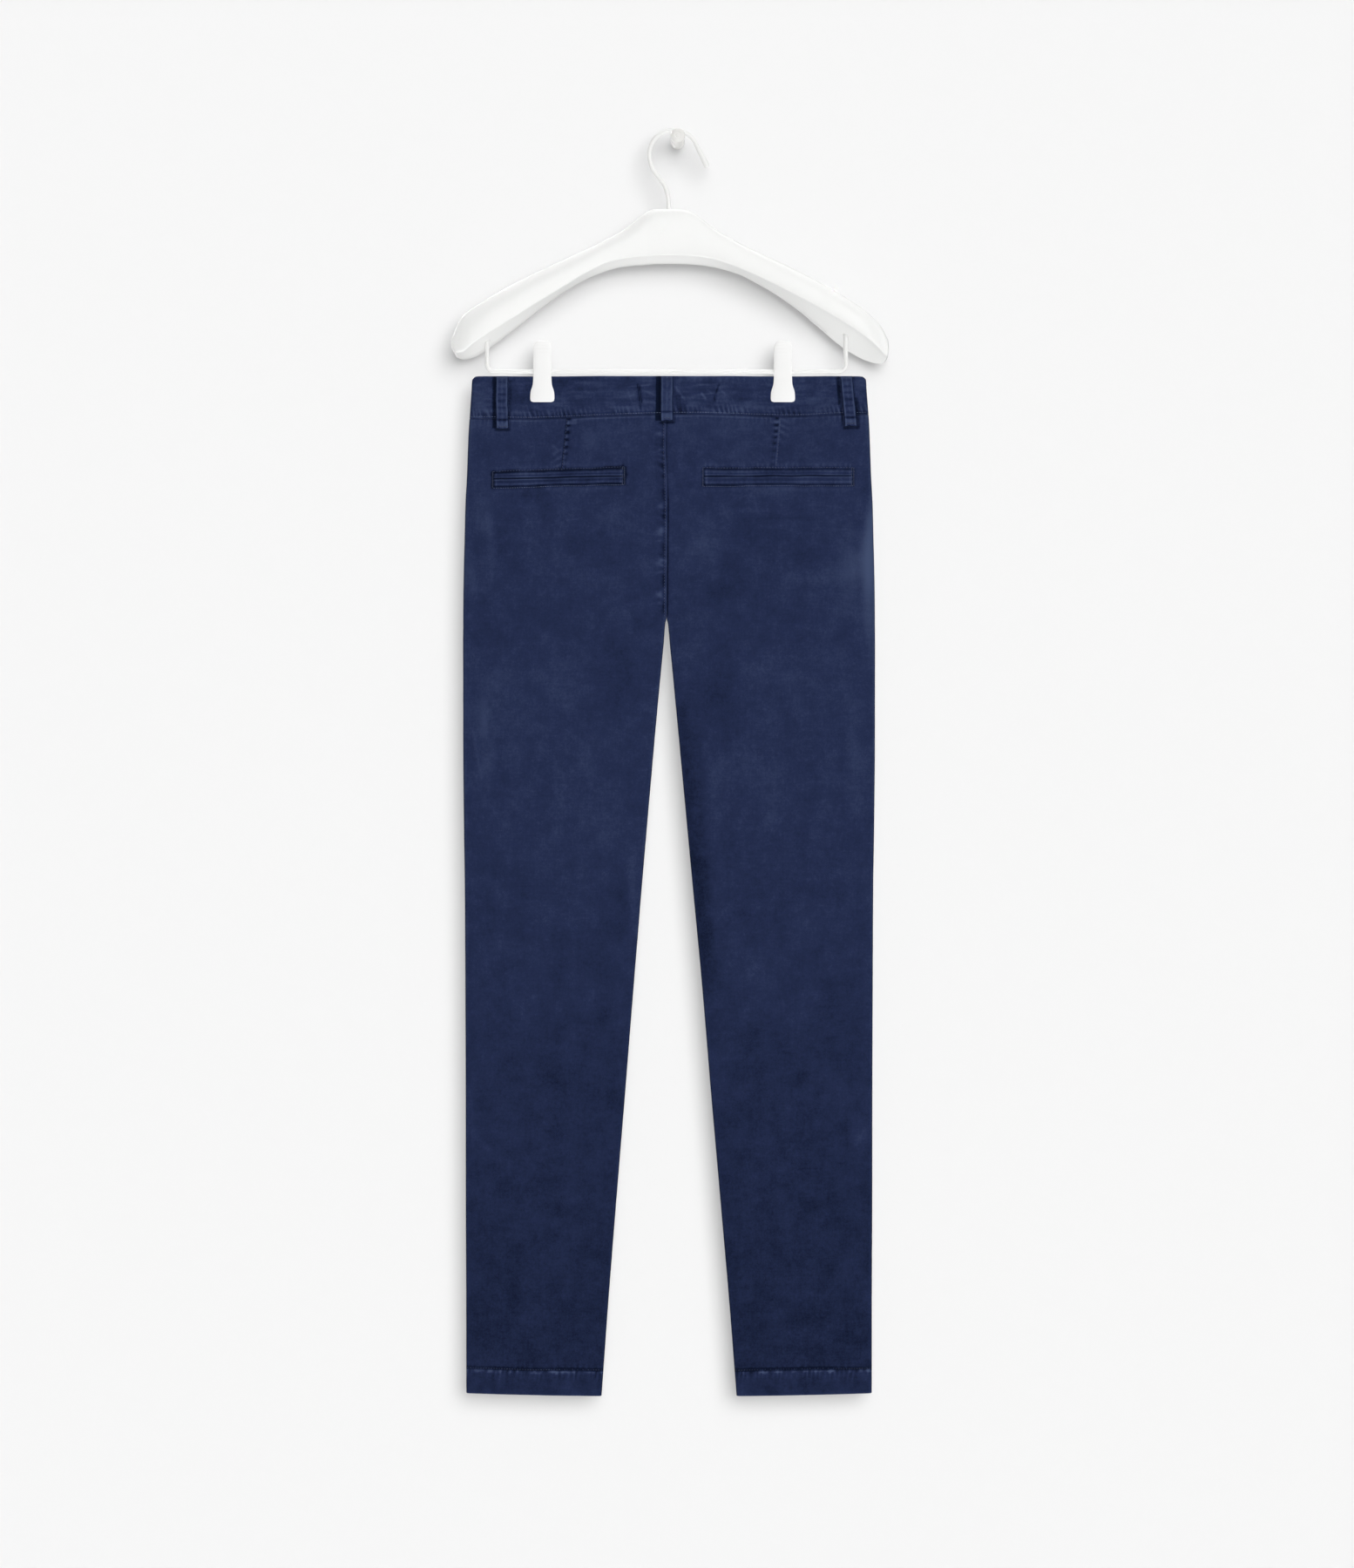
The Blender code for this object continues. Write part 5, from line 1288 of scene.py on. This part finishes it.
buttonStyle = {"x": -14, "drop": 21, "stand": 0.45, "holeOff": 1.5, "hole": 0.95, "thread": 0.26, "profile": (
    (0, 1.9), (2, 1.86), (4.4, 1.9), (5.1, 2.2), (5.7, 2.75), (6.3, 3), (7, 3), (7.6, 2.75), (7.95, 2.3),
    (8, 1.6), (7.9, 0.8), (7.4, 0.2), (6.6, 0), (0, 0))}


def waistButton():
    x, drop, off = buttonStyle["x"], buttonStyle["drop"], buttonStyle["holeOff"]
    depth = onCloth(1, x + np.array((-8, 0, 8)), drop, buttonStyle["stand"])[:, 1].max()
    centre = np.array((trousers["x"] + x, trousers["y"] + depth, -trousers["waistDrop"] - drop))
    button = turnedPiece("waist_button", buttonStyle["profile"], hard["buttonResin"], centre, 1, 48)
    for across, up in ((-off, -off), (off, -off), (off, off), (-off, off)):
        spot = (centre + np.array((across, 0, up))) * mm
        drill(button, buttonStyle["hole"], 12, spot, 14, (math.pi / 2, 0, 0))
    button.data.set_sharp_from_angle(angle=math.radians(40))
    share = np.linspace(0, 1, 9)
    lift = 2 + 0.35 * np.sin(np.pi * share) ** 0.5
    lift[[0, -1]] -= 1.6
    threads = []
    for way in (1, -1):
        for beside in (-0.35, 0, 0.35):
            across, up = mix(-off, off, share) * way + beside, mix(-off, off, share) - beside * way
            path = (centre + grid(across, lift, up)) * mm
            threads.append(tube("buttonThread", path, buttonStyle["thread"] * mm, darkThread, 7))
    joined = threads[0]
    bm = bmesh.new()
    for thread in threads:
        bm.from_mesh(thread.data)
    bm.to_mesh(joined.data)
    bm.free()
    for thread in threads[1:]:
        bpy.data.objects.remove(thread)
    joined.name = "buttonThreads"


waistButton()
print("zip and button made")

hanger = {"x": -9.7, "y": -30, "top": 73, "bevel": 1.3, "squareness": 2.8, "neckReach": 36,
          "tipsFrom": 200, "hookHole": (2.8, 16), "barHole": (2.9, 14)}  # holes: radius and depth
bar = {"radius": 2.25, "drop": 240.8, "left": -197, "right": 173.5, "bend": 7, "sunk": 12, "sag": 0.5}
# distance from the hanger's middle, then below its flat top: top, front lower edge, rear lower edge;
# half depth
armRows = np.array((
    (-221.8, 130, 146, 148, 9.5), (-219.5, 123.5, 150, 152, 13), (-212, 110.5, 149, 154, 16.5),
    (-203, 103, 142, 152.2, 17.5), (-192, 96.3, 134.5, 146.5, 17.5), (-171, 83.5, 121, 131.5, 16.5),
    (-157, 76.3, 112, 121, 16), (-132, 63.6, 96, 101.5, 14.6), (-104, 50.8, 78.7, 82, 13.2),
    (-79, 39.4, 64, 68.6, 12), (-59.6, 29.4, 55.4, 61.6, 11), (-49.7, 24.2, 53, 59.2, 10.5),
    (-42.5, 19, 51.8, 58.4, 10.3), (-35.3, 13.2, 50.9, 57.6, 10), (-28.1, 7.3, 50.2, 57, 9.8),
    (-20.9, 2.6, 49.6, 56.6, 9.5), (-13.7, 0.3, 49.1, 56, 9.5), (0, 0, 48.8, 55.7, 9.5),
    (14, 0.3, 49.1, 55.9, 9.5), (25.5, 3.7, 49.8, 56.5, 9.7), (32, 8.4, 50.5, 57, 10),
    (38, 13, 51.4, 57.8, 10), (46, 19.2, 53, 59.2, 10.4), (53.8, 24.2, 55.2, 60.8, 10.8),
    (72.7, 35, 62.2, 66.4, 11.8), (94.8, 45.8, 72, 77.4, 12.8), (110, 52.8, 79.4, 86.3, 13.5),
    (132, 63.4, 91, 101.6, 14.6), (155, 75.3, 103.4, 120.6, 15.7), (173, 85.4, 114, 135.8, 16.6),
    (189, 95.2, 124.3, 147, 17.3), (205, 106.6, 135.8, 155.2, 17.2), (217.6, 119, 147, 158.8, 14.5),
    (222.6, 126.5, 151.6, 158, 11.5), (225, 132, 153.6, 156, 9)))


def armSection(x):
    return [float(steadyCurve(armRows[:, 0], armRows[:, column], x)) for column in range(1, 5)]


def armLow(x):
    # height of the middle of an arm's underside
    _, frontLow, rearLow, _ = armSection(x - hanger["x"])
    return -hanger["top"] - (frontLow + rearLow) / 2


def armRing(x, shrink=1, beyond=0):
    # points round one section, from the front lower edge over the top to the rear and back underneath
    top, frontLow, rearLow, half = armSection(x)
    if shrink < 1:
        middle = (top + (frontLow + rearLow) / 2) / 2
        top, frontLow, rearLow = (mix(middle, value, shrink) for value in (top, frontLow, rearLow))
        half *= shrink
    inland = float(smooth(min(x - armRows[0, 0], armRows[-1, 0] - x) / 34))
    bevel = mix(3.4, hanger["bevel"], inland) * shrink
    power = 2 / mix(2.5, hanger["squareness"], inland)
    first = math.asin(min(0.9, (bevel / (min(frontLow, rearLow) - top)) ** (1 / power)))
    ring = []
    for turn in np.linspace(first, math.pi - first, 34):
        across = -math.copysign(abs(math.cos(turn)) ** power, math.cos(turn))
        low = mix(frontLow, rearLow, (across + 1) / 2)
        ring.append((half * across, mix(low, top, math.sin(turn) ** power)))
    turns = np.radians((30, 60, 90))
    rounding = [(bevel * (1 - math.cos(turn)), bevel * (1 - math.sin(turn))) for turn in turns]
    ring += [(half - inward, rearLow - up) for inward, up in rounding]
    ring += [(mix(half - bevel, bevel - half, share), mix(rearLow, frontLow, share))
             for share in (0.25, 0.5, 0.75)]
    ring += [(inward - half, frontLow - up) for inward, up in rounding[::-1]]
    return [(x + beyond, y, -z) for y, z in ring]


def hangerBody():
    left, right = armRows[0, 0], armRows[-1, 0]
    ends = ((2.6, 0.12), (2.2, 0.5), (1.4, 0.78), (0.6, 0.93))  # how far past the arm's end, and size there
    neck, tips = hanger["neckReach"], hanger["tipsFrom"]
    spots = np.concatenate((np.arange(left, -tips, 1.2), np.arange(-tips, -neck, 3.4),
                            np.arange(-neck, neck, 1.5), np.arange(neck, tips, 3.4),
                            np.arange(tips, right, 1.2), (right,)))
    rings = np.array([armRing(left, size, -beyond) for beyond, size in ends] + [armRing(x) for x in spots]
                     + [armRing(right, size, beyond) for beyond, size in ends[::-1]])
    points = rings.reshape(-1, 3) + np.array((hanger["x"], hanger["y"], -hanger["top"]))
    body = fixNormals(newPiece("hanger_body", points * mm, ringFaces(*rings.shape[:2]), hard["whiteLacquer"]))
    holes = [(bar[end], armLow(bar[end]), *hanger["barHole"], 1) for end in ("left", "right")]
    for x, z, radius, depth, up in [(hanger["x"], -hanger["top"], *hanger["hookHole"], -1)] + holes:
        spot = np.array((x, hanger["y"], z + up * (depth - 12) / 2)) * mm
        drill(body, radius, depth + 12, spot, 24)
    body.data.set_sharp_from_angle(angle=math.radians(38))


hangerBody()

hook = {"radius": 2.3, "tipScale": 1.3, "bend": 25.3, "middleX": -4.2, "freeAngle": 26.6, "freeRun": 27,
        "neckAngle": 196, "stemTop": -68, "sunk": 14, "pegGroove": 5.5,
        "neck": ((-25.9, -32.2), (-19.6, -40.2), (-13.4, -49.5), (-10.3, -60.5))}


def arcPoints(middle, radius, start, end, steps):
    turns = np.radians(np.linspace(start, end, steps + 1))
    return [(middle[0] + radius * math.cos(turn), middle[1] + radius * math.sin(turn)) for turn in turns]


def curveThrough(points, steps):
    # a Catmull-Rom curve through the inner points; the two end points only steer it
    points = np.array(points, float)
    route = []
    for before, start, end, after in zip(points, points[1:], points[2:], points[3:]):
        for t in np.arange(steps) / steps:
            bend, twist = 2 * before - 5 * start + 4 * end - after, 3 * start - before - 3 * end + after
            route.append(0.5 * (2 * start + (end - before) * t + bend * t ** 2 + twist * t ** 3))
    return route + [points[-2]]


def inHanger(flat):
    # a route of (x, z) in the hanger's plane, in metres
    return grid(flat[:, 0], hanger["y"], flat[:, 1]) * mm


def hangerHook():
    reach = hook["bend"] - hook["radius"] - hook["pegGroove"] - 0.3
    middle = (hook["middleX"], -math.sqrt(reach ** 2 - hook["middleX"] ** 2))
    bend = np.array(arcPoints(middle, hook["bend"], hook["freeAngle"], hook["neckAngle"], 60))
    heading = math.radians(hook["freeAngle"] - 90)
    runs = np.linspace(hook["freeRun"] - 2.2, 2, 10)[:, None]
    free = bend[0] + runs * np.array((math.cos(heading), math.sin(heading)))
    stemEnd = (hanger["x"], -hanger["top"] - hook["sunk"])
    neck = curveThrough([bend[-6], bend[-1], *hook["neck"], (hanger["x"], hook["stemTop"]), stemEnd], 8)
    flat = np.concatenate((free, bend[:-1], neck, [(hanger["x"], -80), stemEnd]))
    flat = flat[np.concatenate(([True], np.linalg.norm(np.diff(flat, axis=0), axis=1) > 0.2))]
    along = np.concatenate(([0], np.cumsum(np.linalg.norm(np.diff(flat, axis=0), axis=1))))
    radii = hook["radius"] * mix(hook["tipScale"], 1, smooth(along / 26)) * mm
    tube("hanger_hook", inHanger(flat), radii, hard["whiteWire"], 20)


def trouserBar():
    left, right, bend = bar["left"], bar["right"], bar["bend"]
    corner = bend - bar["drop"]
    run = np.linspace(left + bend + 6, right - bend - 6, 40)
    sag = bar["sag"] * np.sin(math.pi * (run - left) / (right - left))
    flat = np.concatenate((
        grid(left, 0, np.linspace(armLow(left) + bar["sunk"], corner + 2, 8))[:, ::2],
        arcPoints((left + bend, corner), bend, 180, 270, 10), np.stack((run, -bar["drop"] - sag), axis=1),
        arcPoints((right - bend, corner), bend, 270, 360, 10),
        grid(right, 0, np.linspace(corner + 2, armLow(right) + bar["sunk"], 8))[:, ::2]))
    tube("trouser_bar", inHanger(flat), bar["radius"] * mm, hard["whiteWire"], 16)


hangerHook()
trouserBar()

clips = {"top": 209.5, "wall": 2.2, "length": 63.3, "coils": 6, "wire": 0.55, "coil": 3.35, "coilHalf": 4.2}
jawRows = np.array((  # below the top, half width, middle plane to the inner face
    (0, 3.4, 5.4), (0.6, 5.4, 5.4), (1.8, 7.2, 5.3), (4, 8.6, 5.1), (8, 9.3, 4.8), (14, 9.1, 4.5),
    (26, 9.2, 4.4), (38, 9.4, 3.8), (44, 9.7, 2.8), (47.5, 10.5, 2.6), (51, 11.7, 2.6), (54.5, 12.3, 2.6),
    (59, 12.5, 2.6), (61.4, 12.2, 2.6), (62.6, 11.2, 2.6), (63.3, 9.2, 2.6)))


def clipJaw(node, middle, facing):
    run = np.concatenate((np.linspace(0, 4, 9)[:-1], np.linspace(4, 58, 46),
                          np.linspace(58, clips["length"], 12)[1:]))[:, None]
    halfWidth, stand = (steadyCurve(jawRows[:, 0], jawRows[:, column], run) for column in (1, 2))
    across = np.sin(np.linspace(-1, 1, 19) * np.pi / 2)[None, :]
    rounded = np.sqrt(np.maximum(0, 1 - np.abs(across) ** 5))
    fromEnd = np.minimum(run, clips["length"] - run)
    ends = np.sqrt(np.clip(1 - (1 - np.minimum(fromEnd, 1.6) / 1.6) ** 2, 0, 1))
    bulge = (0.5 * bell(run - 52, 9) + 0.35) * (1 - across ** 2)
    grip = 0.35 * np.clip(np.sin(run * 2 * np.pi / 3.4), 0, 1) * bell(run - 7, 5)
    half = clips["wall"] / 2
    outer = stand + half + (half + bulge + grip) * rounded * ends
    inner = stand + half - half * rounded * ends
    x, z = middle + across * halfWidth, trousers["waistDrop"] - clips["top"] - run
    clothShell(node, grid(x, facing * outer, z), grid(x, facing * inner, z), 0, facing, hard["whiteMoulding"])


def clipSpring(node, middle):
    steps = clips["coils"] * 18 + 1
    angle = np.linspace(0, clips["coils"] * 2 * np.pi, steps)
    x = hanger["x"] + middle + np.linspace(-clips["coilHalf"], clips["coilHalf"], steps)
    route = grid(x, hanger["y"] + clips["coil"] * np.sin(angle), -bar["drop"] + clips["coil"] * np.cos(angle))
    tube(node, route * mm, clips["wire"] * mm, hard["springSteel"], 8)


for clip, middle in zip(("clip_left", "clip_right"), clipMiddles):
    clipJaw(clip + "_front", middle, -1)
    clipJaw(clip + "_rear", middle, 1)
    clipSpring(clip + "_spring", middle)

pegProfile = (  # radius and distance from the wall
    (0, 55.2), (1.6, 55.2), (2.2, 55.05), (2.6, 54.7), (3, 55), (4.2, 54.95), (5.4, 54.55), (6.4, 53.8),
    (7.1, 52.7), (7.5, 51.3), (7.5, 43.5), (7.2, 42.3), (6.5, 41), (5.8, 39.8), (5.5, 38.6), (5.5, 22),
    (5.8, 20.6), (6.5, 19.2), (6.9, 18.2), (7, 17), (7, 0.6), (6.6, 0.05), (0, 0.05))
peg = turnedPiece("wall_peg", pegProfile, hard["pegEnamel"], (0, 0, 0), -1, 56)
peg.data.set_sharp_from_angle(angle=math.radians(50))
print("hanger made")

# attach every piece that nothing holds yet to the root body
for piece in list(bpy.context.scene.objects):
    if piece.type == "MESH" and "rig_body" not in piece and "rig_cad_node" not in piece:
        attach(piece, "root")

room = {"wallY": 0.0006, "wallTop": 3.2, "floorZ": -2.1, "floorReach": 6.5, "reach": 4.5, "ambient": 0.04}
# heading, strength and softness; only the first casts shadows, and the white ones light white pieces
suns = {
    "keySun": ((-0.25, 1, -0.31), 2.13, 45), "frontFill": ((0, 1, 0), 0.30, 50),
    "lowFill": ((0, 0.30, 0.95), 2.75, 50), "highFill": ((0, 0.26, -0.96), 1.1, 50),
    "rearSun": ((0.2, -1, -0.25), 2.6, 45), "whiteTop": ((0, -0.15, -1), 1.3, 60),
    "whiteLeft": ((1, -0.15, -0.1), 1.35, 60), "whiteRight": ((-1, -0.15, -0.1), 1.6, 60),
    "whiteLow": ((0, -0.15, 1), 0.5, 60),
}


def stagePlane(name, corners, color):
    piece = newPiece(name, corners, [(0, 1, 2, 3)], plainPaint(name + "Paint", color))
    piece.visible_diffuse = False
    piece.visible_glossy = False
    return piece


def plainPaint(name, color):
    # paint that is see-through from behind
    material, tree, shader = startMaterial(name, {"Roughness": 0.95, "Specular IOR Level": 0})
    grain = noise(tree, put(tree, "ShaderNodeTexCoord").outputs["Object"], 3, 2)
    connect(tree, shader, {"Base Color": blend(tree, grain, color, tuple(c * 0.995 for c in color))})
    side = put(tree, "ShaderNodeNewGeometry")
    both = put(tree, "ShaderNodeMixShader", {0: side.outputs["Backfacing"], 1: shader,
                                             2: put(tree, "ShaderNodeBsdfTransparent")})
    connect(tree, tree.nodes["Material Output"], {"Surface": both})
    return material


left, right, wallY, floorZ = -room["reach"], room["reach"], room["wallY"], room["floorZ"]
wall = stagePlane("wall", [(left, wallY, floorZ), (right, wallY, floorZ), (right, wallY, room["wallTop"]),
                           (left, wallY, room["wallTop"])], (0.83, 0.83, 0.83))
wall.visible_shadow = False
near, far = -room["floorReach"], room["floorReach"]
stagePlane("floor", [(left, near, floorZ), (right, near, floorZ), (right, far, floorZ), (left, far, floorZ)],
           (0.82, 0.82, 0.81))

scene = bpy.context.scene
scene.view_settings.view_transform = "Standard"
scene.cycles.use_light_tree = False  # the tree speckles rims that several suns graze
scene.world = bpy.data.worlds.new("studio")
scene.world.use_nodes = True
connect(scene.world.node_tree, scene.world.node_tree.nodes["Background"],
        {"Color": (1, 1, 1), "Strength": room["ambient"]})

whiteNames = ("hanger", "trouserBar", "clip", "wallPeg")
white = [piece for piece in scene.objects if piece.name.startswith(whiteNames)]
for name, (heading, strength, softness) in suns.items():
    isKey = name == "keySun"
    lamp = bpy.data.lights.new(name, "SUN")
    lamp.energy = strength
    lamp.angle = math.radians(softness)
    lamp.use_shadow = isKey
    lamp.cycles.use_multiple_importance_sampling = isKey
    lamp.cycles.max_bounces = 8 if isKey else 0
    piece = addObject(name, lamp)
    piece.rotation_euler = Vector(heading).to_track_quat("-Z", "Y").to_euler()
    if name.startswith("white"):
        lit = bpy.data.collections.new(name)
        for receiver in white:
            lit.objects.link(receiver)
        piece.light_linking.receiver_collection = lit

view = {"place": (-0.0009, -4.530, -0.667), "turn": (math.pi / 2, 0, 0), "lens": 100, "sensor": 36}
camera = addObject("camera", bpy.data.cameras.new("camera"))
camera.data.lens = view["lens"]
camera.data.sensor_width = view["sensor"]
camera.data.clip_end = 50
camera.location = view["place"]
camera.rotation_euler = view["turn"]
scene.camera = camera

print("scene ready")
